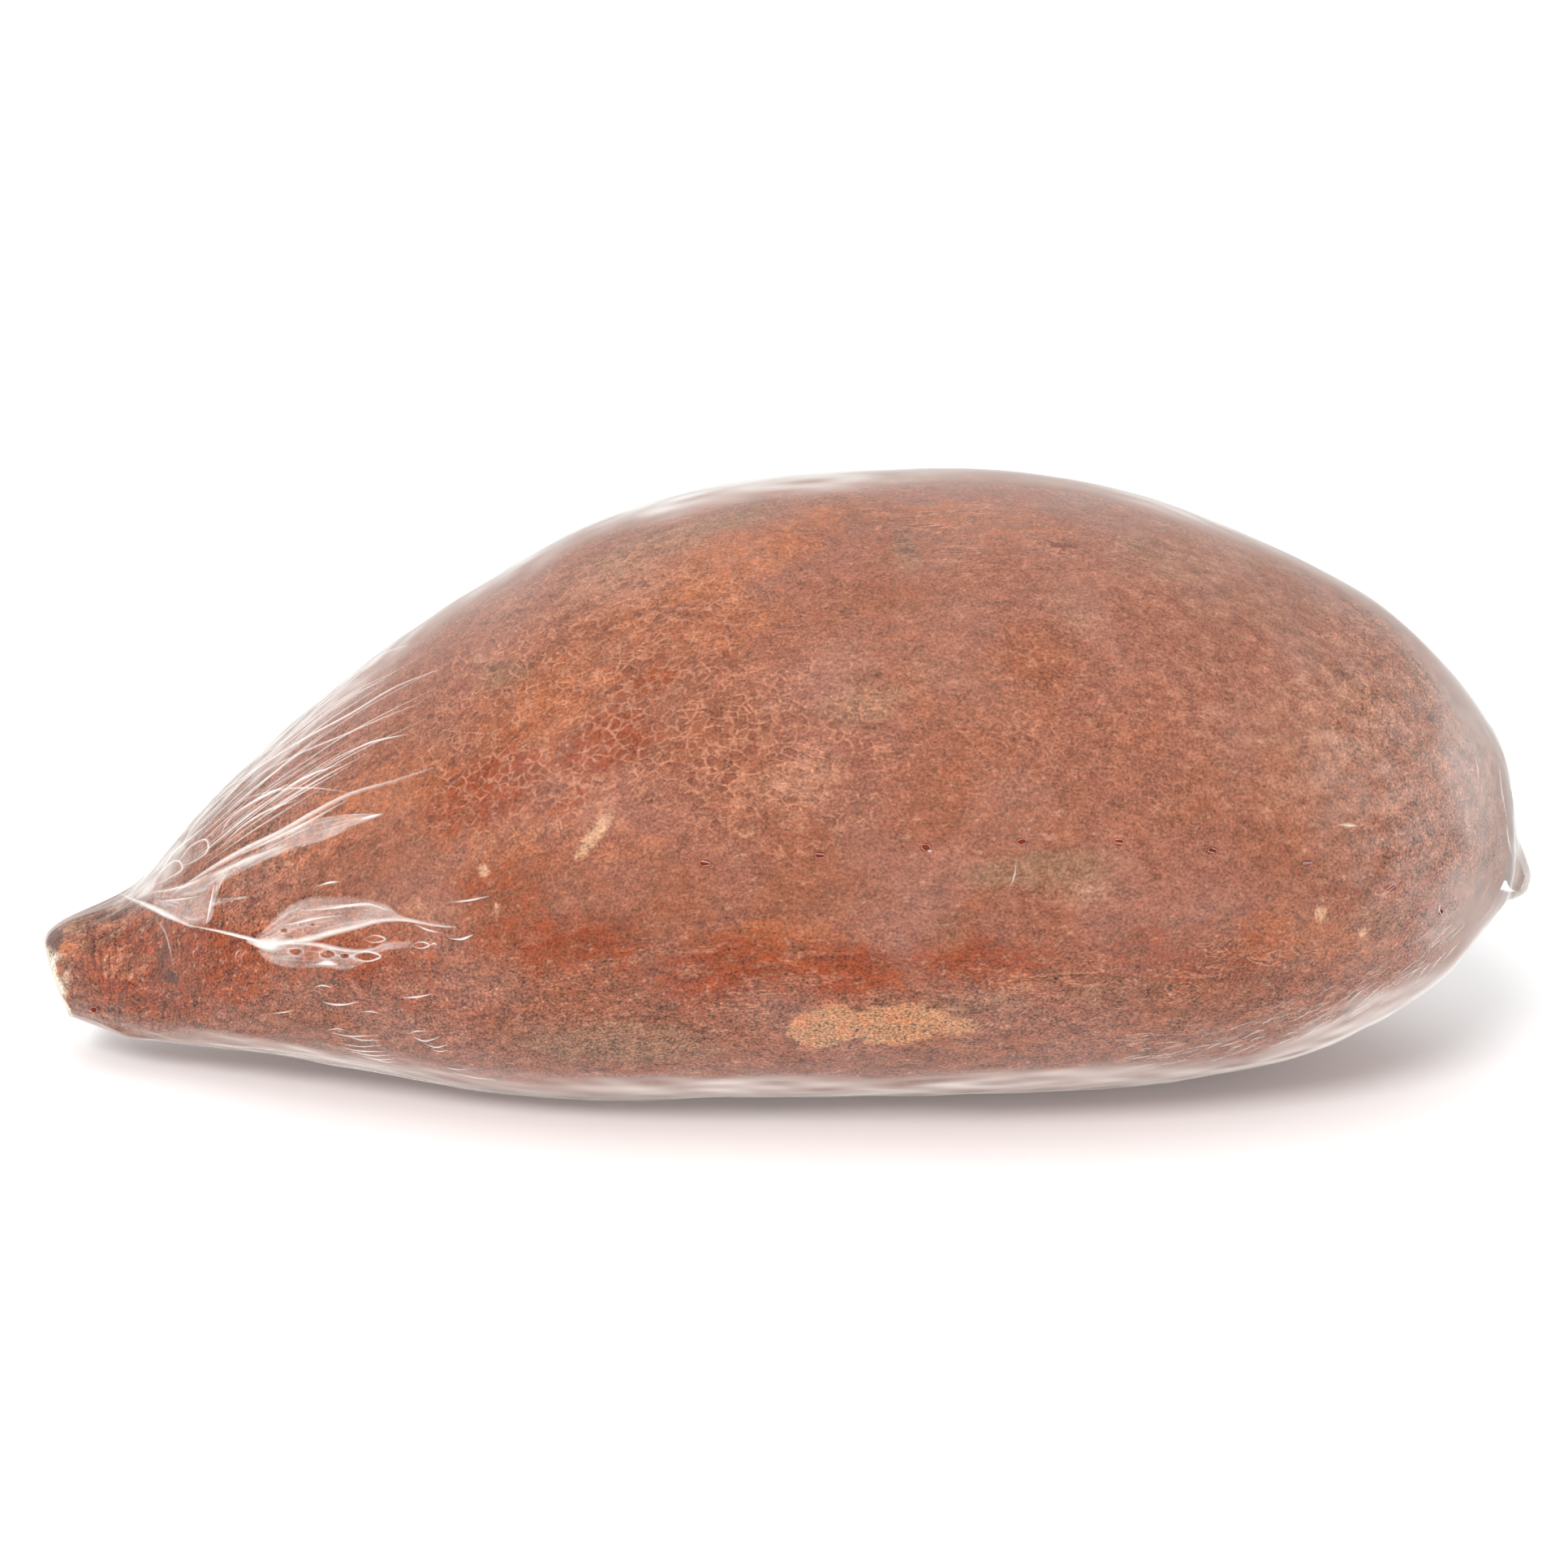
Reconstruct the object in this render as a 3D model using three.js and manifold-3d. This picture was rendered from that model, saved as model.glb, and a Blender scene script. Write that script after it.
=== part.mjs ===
// A sweet potato, one storage root, in its clear heat-shrunk film. Millimetres, +Z up.
// The root lies along X with its cut neck at -X and its thin tail at +X, and rests on a flat spot.
import * as THREE from "three";
import Module from "manifold-3d";
import { mergeVertices } from "three/addons/utils/BufferGeometryUtils.js";

const wasm = await Module();
wasm.setup();

// Driving dimensions
const FILM_WALL = 0.4; // the solid's wall, where real film is about 0.02
const SNUG_GAP = 0.5; // between the root's skin and the inside of the film
const DEPTH_TO_HEIGHT = 1.06; // the root is a little wider than it is high
const CUT_SLANT_Z = 0.31; // the knife cut across the neck leans out at the top
const CUT_SLANT_Y = 0.19; // and turns its face a little to -Y
const CUT_REACH = 9; // the slant fades out over this length of neck
const NECK_SLACK = 1.3; // the film bridges the hollow over the neck by this much
const NECK_SLACK_X = -64;
const NECK_SLACK_REACH = 9;

// The outside of the film, ring by ring: [x, height of the middle, half height, sideways shift]
const FILM_RINGS = [
  [-79.5, 8.8, 0, 4.9],
  [-79.45, 9.0, 4.2, 4.9],
  [-79.1, 9.35, 4.6, 4.8],
  [-78.2, 9.65, 5.2, 4.8],
  [-76.8, 10.0, 5.9, 4.6],
  [-75.2, 10.2, 6.55, 4.4],
  [-73.5, 10.4, 7.2, 4.2],
  [-71.7, 10.85, 7.95, 4.0],
  [-68.2, 12.3, 9.6, 3.6],
  [-62.5, 15.5, 13.0, 3.0],
  [-53.8, 19.5, 17.4, 2.1],
  [-45.0, 22.8, 21.6, 1.3],
  [-32.0, 26.6, 26.9, 0.4],
  [-20.0, 29.7, 30.5, 0],
  [-5.8, 32.1, 32.4, 0],
  [11.7, 32.8, 33.3, 0],
  [25.0, 32.8, 33.3, 0],
  [37.9, 32.0, 31.9, 0],
  [46.6, 31.0, 29.7, 0],
  [55.4, 29.9, 26.7, 0],
  [64.1, 29.2, 22.2, 0],
  [70.6, 28.3, 16.9, 0],
  [74.9, 28.1, 11.7, 0],
  [76.9, 27.3, 8.7, 0],
  [77.7, 25.6, 6.1, 0],
  [78.6, 23.5, 3.9, 0],
  [79.9, 22.4, 2.0, 0],
  [80.5, 22.1, 0, 0],
];

// The film tents over the blunt tail and its rootlet, so the root has rings of its own past this x
const TENT_START_X = 73;
const TAIL_RINGS = [
  [73.6, 28.3, 12.8, 0],
  [75.6, 28.0, 10.0, 0],
  [76.9, 27.5, 7.2, 0],
  [77.6, 26.0, 4.6, 0],
  [78.2, 23.3, 2.8, 0],
  [79.4, 22.2, 2.0, 0],
  [80.2, 22.1, 0, 0],
];

// Shallow hollows of the root's skin, which the film bridges: [x, angle in degrees, depth, reach].
// The angle runs round the root from +Y over the top, so 180 faces -Y.
const HOLLOWS = [
  [9, 232, 0.7, 7],
  [-28, 158, 0.5, 5],
  [31, 141, 0.5, 5],
  [40, 184, 0.4, 5],
  [58, 118, 0.5, 6],
  [-12, 80, 0.5, 6],
  [-46, 205, 0.5, 6],
  [18, 20, 0.7, 7],
  [-24, 340, 0.5, 6],
  [50, 300, 0.5, 6],
  [-52, 60, 0.5, 6],
];

// Mesh density
const STEPS = 44;
const SIDES = 36;

// Row of vent holes pricked through the film, the same along the front and the back: [x, height]
const VENTS = [
  [-8.6, 32.6],
  [3.8, 33.9],
  [15.3, 34.7],
  [25.6, 35.4],
  [36.1, 35.0],
  [46.1, 33.2],
  [56.3, 30.8],
  [65.2, 26.7],
  [70.7, 22.7],
];
const VENT_RADIUS = 0.6;
const VENT_SIDES = 6;

const COLOURS = {
  skin: new THREE.Color(0.49, 0.165, 0.11),
  film: new THREE.Color(0.9, 0.9, 0.9),
};

const bump = (distance, reach) => Math.exp(-((distance / reach) ** 2));

// The bridging film stands off the neck, so the root's rings there are smaller and lower
function rootRings() {
  const body = FILM_RINGS.filter(([x]) => x < TENT_START_X).map(([x, mid, half, side]) => {
    const slack = half === 0 ? 0 : NECK_SLACK * bump(x - NECK_SLACK_X, NECK_SLACK_REACH);
    return [x, mid - slack / 2, half - slack / 2, side];
  });
  return [...body, ...TAIL_RINGS];
}

// Smooth curve through the rings, evenly stepped along the outline
function sampleRings(rings, steps) {
  const at = [0];
  for (let i = 1; i < rings.length; i++) {
    const [dx, dMid, dHalf] = rings[i].map((value, k) => value - rings[i - 1][k]);
    at.push(at[i - 1] + Math.hypot(dx, dMid, dHalf));
  }
  const slope = (i, k) => {
    const before = Math.max(i - 1, 0);
    const after = Math.min(i + 1, rings.length - 1);
    return (rings[after][k] - rings[before][k]) / (at[after] - at[before]);
  };
  const total = at[at.length - 1];
  const samples = [];
  for (let step = 0; step <= steps; step++) {
    const along = Math.min((total * step) / steps, total);
    const i = Math.max(at.findIndex((end) => end >= along) - 1, 0);
    const span = at[i + 1] - at[i];
    const t = (along - at[i]) / span;
    samples.push(
      rings[i].map((value, k) => {
        const next = rings[i + 1][k];
        return (
          (2 * t ** 3 - 3 * t ** 2 + 1) * value +
          (t ** 3 - 2 * t ** 2 + t) * span * slope(i, k) +
          (3 * t ** 2 - 2 * t ** 3) * next +
          (t ** 3 - t ** 2) * span * slope(i + 1, k)
        );
      }),
    );
  }
  return samples;
}

// Slow swells of a grown root, as a share of the radius
function swell(x, angle) {
  return (
    1 +
    0.01 * Math.sin(2 * angle + x / 23) +
    0.008 * Math.sin(3 * angle - x / 31 + 1) +
    0.004 * Math.sin(5 * angle + x / 11)
  );
}

// How far the skin dips at one place on the root
function hollowDepth(x, angle, radius) {
  return HOLLOWS.reduce((depth, [hollowX, degrees, deep, reach]) => {
    const turn = angle - THREE.MathUtils.degToRad(degrees);
    const across = radius * Math.atan2(Math.sin(turn), Math.cos(turn));
    return depth + deep * bump(Math.hypot(x - hollowX, across), reach);
  }, 0);
}

// One point of a ring, with the slanted cut at the neck and the flat spot underneath
function ringPoint([x, mid, half, side], angle, dip) {
  const reach = Math.max(half, 0) * swell(x, angle) - dip(x, angle, half);
  const y = reach * DEPTH_TO_HEIGHT * Math.cos(angle);
  const z = reach * Math.sin(angle);
  const fade = Math.max(0, 1 - (x - FILM_RINGS[0][0]) / CUT_REACH);
  const slant = -fade * (CUT_SLANT_Z * z + CUT_SLANT_Y * y);
  return new THREE.Vector3(x + slant, side + y, Math.max(mid + z, 0));
}

const noDip = () => 0;

// Closed surface through the rings, with one point at each end
function loft(rings, dip = noDip) {
  const samples = sampleRings(rings, STEPS);
  const inner = samples.slice(1, -1);
  const points = [ringPoint(samples[0], 0, noDip)];
  for (const ring of inner)
    for (let side = 0; side < SIDES; side++)
      points.push(ringPoint(ring, (2 * Math.PI * side) / SIDES, dip));
  points.push(ringPoint(samples[STEPS], 0, noDip));

  const last = points.length - 1;
  const index = [];
  const corner = (ring, side) => 1 + ring * SIDES + (side % SIDES);
  for (let side = 0; side < SIDES; side++) {
    index.push(0, corner(0, side + 1), corner(0, side));
    for (let ring = 0; ring < inner.length - 1; ring++) {
      const [a, b] = [corner(ring, side), corner(ring, side + 1)];
      const [c, d] = [corner(ring + 1, side), corner(ring + 1, side + 1)];
      index.push(a, b, d, a, d, c);
    }
    const end = inner.length - 1;
    index.push(last, corner(end, side), corner(end, side + 1));
  }
  const geometry = new THREE.BufferGeometry().setFromPoints(points);
  geometry.setIndex(index);
  geometry.computeVertexNormals();
  return geometry;
}

// The same surface moved in along its normals
function movedIn(geometry, distance) {
  const moved = geometry.clone();
  const { position, normal } = moved.attributes;
  const point = new THREE.Vector3();
  const out = new THREE.Vector3();
  for (let i = 0; i < position.count; i++) {
    point.fromBufferAttribute(position, i).addScaledVector(out.fromBufferAttribute(normal, i), -distance);
    position.setXYZ(i, point.x, point.y, point.z);
  }
  return moved;
}

function solidFrom(geometry) {
  const bare = new THREE.BufferGeometry();
  bare.setAttribute("position", geometry.getAttribute("position").clone());
  bare.setIndex(geometry.index.clone());
  const merged = mergeVertices(bare, 1e-4);
  return new wasm.Manifold(
    new wasm.Mesh({
      numProp: 3,
      vertProperties: new Float32Array(merged.attributes.position.array),
      triVerts: new Uint32Array(merged.index.array),
    }),
  );
}

function geometryFrom(solid) {
  const mesh = solid.getMesh();
  const geometry = new THREE.BufferGeometry();
  geometry.setAttribute("position", new THREE.BufferAttribute(mesh.vertProperties, 3));
  geometry.setIndex(new THREE.BufferAttribute(mesh.triVerts, 1));
  geometry.computeVertexNormals();
  return geometry;
}

// Each vent is a pin pushed through the film where the wrap has that x and height
function ventPins() {
  const rings = sampleRings(FILM_RINGS, 400);
  return VENTS.flatMap(([x, height]) => {
    const [, mid, half, side] = rings.find((ring) => ring[0] >= x);
    const out = Math.sqrt(half ** 2 - (height - mid) ** 2) * DEPTH_TO_HEIGHT;
    return [-1, 1].map((face) => {
      const pin = new THREE.CylinderGeometry(VENT_RADIUS, VENT_RADIUS, 3, VENT_SIDES);
      pin.translate(x, side + face * out, height);
      return solidFrom(pin);
    });
  });
}

function filmSolid() {
  const outside = loft(FILM_RINGS);
  const inside = movedIn(outside, FILM_WALL);
  const wall = solidFrom(outside).subtract(solidFrom(inside));
  return ventPins().reduce((wrap, pin) => wrap.subtract(pin), wall);
}

function dressed(name, geometry, material) {
  const mesh = new THREE.Mesh(geometry, material);
  mesh.name = name;
  return mesh;
}

const skin = new THREE.MeshStandardMaterial({ color: COLOURS.skin, roughness: 0.6, metalness: 0 });
const film = new THREE.MeshStandardMaterial({
  color: COLOURS.film,
  roughness: 0.15,
  metalness: 0,
  transparent: true,
  opacity: 0.25,
});

const wrapGeometry = geometryFrom(filmSolid());
const rootGeometry = movedIn(loft(rootRings(), hollowDepth), FILM_WALL + SNUG_GAP);

const part = new THREE.Group();
part.add(dressed("sweet_potato", rootGeometry, skin), dressed("shrink_film", wrapGeometry, film));

// The origin is under the middle of the wrapped root, on the surface it rests on
const box = new THREE.Box3().setFromObject(part);
const centre = box.getCenter(new THREE.Vector3());
part.position.set(-centre.x, -centre.y, -box.min.z);

export default part;
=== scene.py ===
"""A sweet potato in clear heat-shrunk film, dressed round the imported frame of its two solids.

The root lies along X with its cut neck at -X and its tail at +X. The film follows it closely, bridges the
hollow over the neck, where it is gathered and pleated, and stands off the tail like a small tent.
"""

import logging
import math
from dataclasses import dataclass, field
from enum import Enum
from typing import Iterable, Sequence

import bmesh
import bpy
import numpy as np
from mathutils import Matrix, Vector
from mathutils.bvhtree import BVHTree


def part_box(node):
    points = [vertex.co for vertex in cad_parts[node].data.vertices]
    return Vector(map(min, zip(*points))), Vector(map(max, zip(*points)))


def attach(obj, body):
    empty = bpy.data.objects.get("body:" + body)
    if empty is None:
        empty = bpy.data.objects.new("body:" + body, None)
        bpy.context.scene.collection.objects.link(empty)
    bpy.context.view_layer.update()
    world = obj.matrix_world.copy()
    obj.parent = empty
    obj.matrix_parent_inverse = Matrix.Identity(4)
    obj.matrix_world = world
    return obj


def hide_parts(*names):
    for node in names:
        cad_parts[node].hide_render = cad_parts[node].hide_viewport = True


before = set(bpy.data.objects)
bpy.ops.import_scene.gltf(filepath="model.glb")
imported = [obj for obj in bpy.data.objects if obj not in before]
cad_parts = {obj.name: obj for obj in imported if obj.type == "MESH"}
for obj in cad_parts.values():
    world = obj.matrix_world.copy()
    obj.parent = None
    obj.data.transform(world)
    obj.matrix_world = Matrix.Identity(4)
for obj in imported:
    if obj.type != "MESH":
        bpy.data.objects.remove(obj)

log = logging.getLogger("sweet_potato")

MM = 0.001  # metres in one of this script's millimetres
BODY = "root"  # the one body of a part without joints
SOLID_STEPS, SOLID_SIDES = 44, 36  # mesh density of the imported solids
PIXELS_PER_MM = 11.45  # in the photograph, at the front of the root
VENT_PIXELS = 13.0  # pixels for a millimetre of a vent's half width on the skin

Pixel = tuple[float, float]
Colour = tuple[float, float, float, float]
Ring = tuple[float, float, float, float]


def paint(red: int, green: int, blue: int) -> Colour:
    """Linear colour from the 0 to 255 values a colour picker shows.

    Args:
        red: Red as shown on a screen.
        green: Green as shown on a screen.
        blue: Blue as shown on a screen.

    Returns:
        The linear colour with full alpha.
    """
    linear = [
        c / 12.92 if c <= 0.04045 else ((c + 0.055) / 1.055) ** 2.4
        for c in (red / 255, green / 255, blue / 255)
    ]
    return (*linear, 1.0)


def ease(low: float, high: float, value: np.ndarray) -> np.ndarray:
    """Smooth rise from 0 at low to 1 at high.

    Args:
        low: Where the rise starts.
        high: Where it ends, above or below low.
        value: The values to look at.

    Returns:
        One number from 0 to 1 for each value.
    """
    t = np.clip((value - low) / (high - low), 0.0, 1.0)
    return t * t * (3.0 - 2.0 * t)


def curve_at(knots: np.ndarray, slope: np.ndarray, at: np.ndarray, place: np.ndarray) -> np.ndarray:
    """Smooth curve through knots.

    Args:
        knots: One row for each knot.
        slope: The curve's slope at each knot.
        at: How far along the curve each knot lies.
        place: How far along it the wanted points lie.

    Returns:
        One row for each wanted point.
    """
    i = np.clip(np.searchsorted(at, place) - 1, 0, len(knots) - 2)
    span = (at[i + 1] - at[i])[:, None]
    t = (place - at[i])[:, None] / span
    return (
        (2 * t**3 - 3 * t**2 + 1) * knots[i]
        + (t**3 - 2 * t**2 + t) * span * slope[i]
        + (3 * t**2 - 2 * t**3) * knots[i + 1]
        + (t**3 - t**2) * span * slope[i + 1]
    )


def lengths_along(knots: np.ndarray) -> np.ndarray:
    """How far along a chain of knots each one lies."""
    steps = np.linalg.norm(np.diff(knots, axis=0), axis=1)
    return np.concatenate([[0.0], np.cumsum(steps)])


@dataclass(frozen=True)
class Grain:
    """Smooth seeded noise of about unit strength: a sum of plane waves in random directions.

    Attributes:
        seed: Seed of the waves.
        size: Wavelength in millimetres.
        stretch: How much longer the waves are along X, Y and Z.
        waves: How many waves are summed.
    """

    seed: int
    size: float
    stretch: tuple[float, float, float] = (1.0, 1.0, 1.0)
    waves: int = 28

    def at(self, points: np.ndarray) -> np.ndarray:
        """Value of the noise at each point, in millimetres."""
        draw = np.random.default_rng(self.seed)
        way = draw.normal(size=(self.waves, 3))
        way /= np.linalg.norm(way, axis=1)[:, None]
        way *= 2 * math.pi / self.size * draw.uniform(0.6, 1.5, (self.waves, 1))
        phase = draw.uniform(0, 2 * math.pi, self.waves)
        value = np.zeros(len(points))
        for k, p in zip(way / np.array(self.stretch), phase):
            value += np.cos(points @ k + p)
        return value * math.sqrt(2 / self.waves)


@dataclass(frozen=True)
class PhotoView:
    """The camera at the photograph's viewing angle, in millimetres and degrees.

    Attributes:
        elevation: How far the camera looks down.
        distance: From the camera to the point it looks at.
        target: The point in the middle of the picture.
        lens: Focal length.
        sensor: Width of the sensor.
        side: Width and height of the picture in pixels.
    """

    elevation: float = 15.0
    distance: float = 466.0
    target: tuple[float, float, float] = (0.4, 0.0, 32.3)
    lens: float = 100.0
    sensor: float = 36.0
    side: int = 1932

    @property
    def axes(self) -> tuple[np.ndarray, np.ndarray, np.ndarray]:
        """The picture's right and up, and the way the camera looks."""
        sine, cosine = math.sin(math.radians(self.elevation)), math.cos(math.radians(self.elevation))
        return np.array([1.0, 0, 0]), np.array([0, sine, cosine]), np.array([0, cosine, -sine])

    @property
    def eye(self) -> np.ndarray:
        """Where the camera stands."""
        return np.array(self.target) - self.distance * self.axes[2]

    @property
    def focal_pixels(self) -> float:
        """Focal length in pixels of the picture."""
        return self.side * self.lens / self.sensor

    def pixels(self, points: np.ndarray) -> np.ndarray:
        """Where points fall in the picture.

        Args:
            points: One row of millimetres for each point.

        Returns:
            One row of pixels for each point, counted right and down from the top left corner.
        """
        right, up, ahead = self.axes
        away = points - self.eye
        depth = away @ ahead
        middle = self.side / 2
        return np.c_[
            middle + self.focal_pixels * (away @ right) / depth,
            middle - self.focal_pixels * (away @ up) / depth,
        ]

    def ray(self, pixel: Pixel) -> tuple[Vector, Vector]:
        """The camera's place, and the direction of a pixel seen from it."""
        right, up, ahead = self.axes
        middle = self.side / 2
        way = (
            self.focal_pixels * ahead
            + (pixel[0] - middle) * right
            - (pixel[1] - middle) * up
        )
        return Vector(self.eye), Vector(way).normalized()

    def build(self) -> bpy.types.Object:
        """Makes the scene's camera."""
        data = bpy.data.cameras.new("photo_camera")
        data.lens = self.lens
        data.sensor_width = self.sensor
        data.clip_start, data.clip_end = 0.01, 50.0
        camera = bpy.data.objects.new("photo_camera", data)
        camera.location = Vector(self.eye) * MM
        camera.rotation_euler = (math.radians(90 - self.elevation), 0.0, 0.0)
        bpy.context.scene.collection.objects.link(camera)
        bpy.context.scene.camera = camera
        return camera


VIEW = PhotoView()


@dataclass(frozen=True)
class GrownForm:
    """A closed form swept along X through round rings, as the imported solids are.

    Attributes:
        rings: Each ring's x, height of the middle, half height and sideways shift, in millimetres.
        depth_to_height: How much wider than high a ring is.
        cut_slant_z: How far the cut leans out at the top.
        cut_slant_y: How far the cut's face turns to -Y.
        cut_reach: The slant fades out over this length of neck.
    """

    rings: tuple[Ring, ...]
    depth_to_height: float = 1.06
    cut_slant_z: float = 0.31
    cut_slant_y: float = 0.19
    cut_reach: float = 9.0

    def ring_at(self, along: np.ndarray) -> np.ndarray:
        """The smooth curve through the rings.

        Args:
            along: Share of the outline's length, from 0 at the cut to 1 at the tail.

        Returns:
            One ring for each share.
        """
        rings = np.array(self.rings)
        at = lengths_along(rings[:, :3])
        before = np.maximum(np.arange(len(rings)) - 1, 0)
        after = np.minimum(np.arange(len(rings)) + 1, len(rings) - 1)
        slope = (rings[after] - rings[before]) / (at[after] - at[before])[:, None]
        return curve_at(rings, slope, at, np.clip(along, 0.0, 1.0) * at[-1])

    def swell(self, x: np.ndarray, angle: np.ndarray) -> np.ndarray:
        """Slow swells of a grown root, as a share of the radius."""
        return (
            1
            + 0.010 * np.sin(2 * angle + x / 23)
            + 0.008 * np.sin(3 * angle - x / 31 + 1)
            + 0.004 * np.sin(5 * angle + x / 11)
        )

    def points(self, along: np.ndarray, angle: np.ndarray) -> np.ndarray:
        """Points of the form.

        Args:
            along: Share of the outline's length.
            angle: Angle round X in radians, from +Y over the top.

        Returns:
            One row of millimetres for each pair.
        """
        x, middle, half, side = self.ring_at(along).T
        reach = np.maximum(half, 0) * self.swell(x, angle)
        y = reach * self.depth_to_height * np.cos(angle)
        z = reach * np.sin(angle)
        fade = np.maximum(0, 1 - (x - self.rings[0][0]) / self.cut_reach)
        slant = -fade * (self.cut_slant_z * z + self.cut_slant_y * y)
        return np.c_[x + slant, side + y, np.maximum(middle + z, 0)]

    def outward(self, along: np.ndarray, angle: np.ndarray) -> np.ndarray:
        """Unit normals of the form, pointing out, from small steps to each side."""
        small = 2e-4
        down = np.clip(along - small, 0.003, 0.997)
        up = np.clip(along + small, down + small, 0.9975)
        lengthwise = self.points(up, angle) - self.points(down, angle)
        middle = (down + up) / 2
        across = self.points(middle, angle + 1e-3) - self.points(middle, angle - 1e-3)
        normal = np.cross(across, lengthwise)
        return normal / np.maximum(np.linalg.norm(normal, axis=1), 1e-12)[:, None]


FILM_RINGS: tuple[Ring, ...] = (
    (-79.5, 8.8, 0, 4.9),
    (-79.45, 9.0, 4.2, 4.9),
    (-79.1, 9.35, 4.6, 4.8),
    (-78.2, 9.65, 5.2, 4.8),
    (-76.8, 10.0, 5.9, 4.6),
    (-75.2, 10.2, 6.55, 4.4),
    (-73.5, 10.4, 7.2, 4.2),
    (-71.7, 10.85, 7.95, 4.0),
    (-68.2, 12.3, 9.6, 3.6),
    (-62.5, 15.5, 13.0, 3.0),
    (-53.8, 19.5, 17.4, 2.1),
    (-45.0, 22.8, 21.6, 1.3),
    (-32.0, 26.6, 26.9, 0.4),
    (-20.0, 29.7, 30.5, 0),
    (-5.8, 32.1, 32.4, 0),
    (11.7, 32.8, 33.3, 0),
    (25.0, 32.8, 33.3, 0),
    (37.9, 32.0, 31.9, 0),
    (46.6, 31.0, 29.7, 0),
    (55.4, 29.9, 26.7, 0),
    (64.1, 29.2, 22.2, 0),
    (70.6, 28.3, 16.9, 0),
    (74.9, 28.1, 11.7, 0),
    (76.9, 27.3, 8.7, 0),
    (77.7, 25.6, 6.1, 0),
    (78.6, 23.5, 3.9, 0),
    (79.9, 22.4, 2.0, 0),
    (80.5, 22.1, 0, 0),
)
TENT_START_X = 73.0
TAIL_RINGS: tuple[Ring, ...] = (
    (73.6, 28.3, 12.8, 0),
    (75.6, 28.0, 10.0, 0),
    (76.9, 27.5, 7.2, 0),
    (77.6, 26.0, 4.6, 0),
    (78.2, 23.3, 2.8, 0),
    (79.4, 22.2, 2.0, 0),
    (80.2, 22.1, 0, 0),
)
NECK_SLACK = 1.3
NECK_SLACK_X = -64.0
NECK_SLACK_REACH = 9.0


def root_rings() -> tuple[Ring, ...]:
    """The root's rings: the film's, less the slack over the neck, and the tail's own."""
    body = []
    for x, middle, half, side in FILM_RINGS:
        if x < TENT_START_X:
            near = math.exp(-(((x - NECK_SLACK_X) / NECK_SLACK_REACH) ** 2))
            slack = NECK_SLACK * near if half else 0.0
            body.append((x, middle - slack / 2, half - slack / 2, side))
    return (*body, *TAIL_RINGS)


FILM_FORM = GrownForm(FILM_RINGS)
ROOT_FORM = GrownForm(root_rings())


def frame_shift() -> np.ndarray:
    """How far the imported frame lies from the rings' own numbers, from the film solid's box."""
    turns = np.arange(SOLID_SIDES) * math.pi / (SOLID_SIDES / 2)
    along, angle = np.meshgrid(np.linspace(0, 1, SOLID_STEPS + 1), turns)
    points = FILM_FORM.points(along.ravel(), angle.ravel())
    low, high = (np.array(corner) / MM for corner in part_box("shrink_film"))
    middle = (low + high) / 2 - (points.min(0) + points.max(0)) / 2
    return np.array([middle[0], middle[1], 0.0])


SHIFT = frame_shift()


@dataclass(frozen=True)
class Skin:
    """A mesh wrapped round a grown form, with what was worked out on the way.

    Attributes:
        net: The mesh, in metres, still open to edits.
        points: Where each vertex is, in millimetres.
        normals: The form's normal at each vertex.
        along: Each vertex's share of the outline's length.
        around: Each vertex's angle round X.
    """

    net: bmesh.types.BMesh
    points: np.ndarray
    normals: np.ndarray
    along: np.ndarray
    around: np.ndarray


def wrap_form(form: GrownForm, sides: int, steps: int, crowd: float = 1.0) -> Skin:
    """Wraps a flat grid round a form. The seam and the poles stay open until close_skin.

    Args:
        form: The form to follow.
        sides: Faces round the form.
        steps: Faces along it.
        crowd: Above 1, the rings stand closer together towards the neck.

    Returns:
        The open skin.
    """
    net = bmesh.new()
    bmesh.ops.create_grid(net, x_segments=sides, y_segments=steps, size=1.0)
    flat = np.array([v.co for v in net.verts])
    angle = (flat[:, 0] + 1) * math.pi
    along = np.clip((flat[:, 1] + 1) / 2, 0, 1) ** crowd
    points = form.points(along, angle) + SHIFT
    return Skin(net, points, form.outward(along, angle), along, angle)


def close_skin(skin: Skin, points: np.ndarray) -> None:
    """Moves a wrapped grid's vertices to points in millimetres, and welds its seam and poles."""
    flat = np.array([v.co for v in skin.net.verts])
    for vert, point in zip(skin.net.verts, points):
        vert.co = point * MM
    edge = 1 - 1e-4
    verts = list(skin.net.verts)
    rows = [[v for v, f in zip(verts, flat) if f[1] * sign > edge] for sign in (-1, 1)]
    seam = [v for v, f in zip(verts, flat) if abs(f[0]) > edge and abs(f[1]) < edge]
    for row in rows:
        middle = sum((v.co for v in row), Vector()) / len(row)
        bmesh.ops.pointmerge(skin.net, verts=row, merge_co=middle)
    bmesh.ops.remove_doubles(skin.net, verts=seam, dist=2e-6)


def piece_from(net: bmesh.types.BMesh, name: str, material: bpy.types.Material) -> bpy.types.Object:
    """Makes a smooth-shaded object at the origin from a mesh in progress.

    Args:
        net: The mesh in progress, which is freed.
        name: The piece's name.
        material: Its one material.

    Returns:
        The new object.
    """
    mesh = bpy.data.meshes.new(name)
    net.to_mesh(mesh)
    net.free()
    mesh.polygons.foreach_set("use_smooth", [True] * len(mesh.polygons))
    mesh.materials.append(material)
    piece = bpy.data.objects.new(name, mesh)
    bpy.context.scene.collection.objects.link(piece)
    return piece


def read_points(piece: bpy.types.Object) -> np.ndarray:
    """A piece's vertices in millimetres."""
    flat = np.empty(len(piece.data.vertices) * 3)
    piece.data.vertices.foreach_get("co", flat)
    return flat.reshape(-1, 3) / MM


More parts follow.
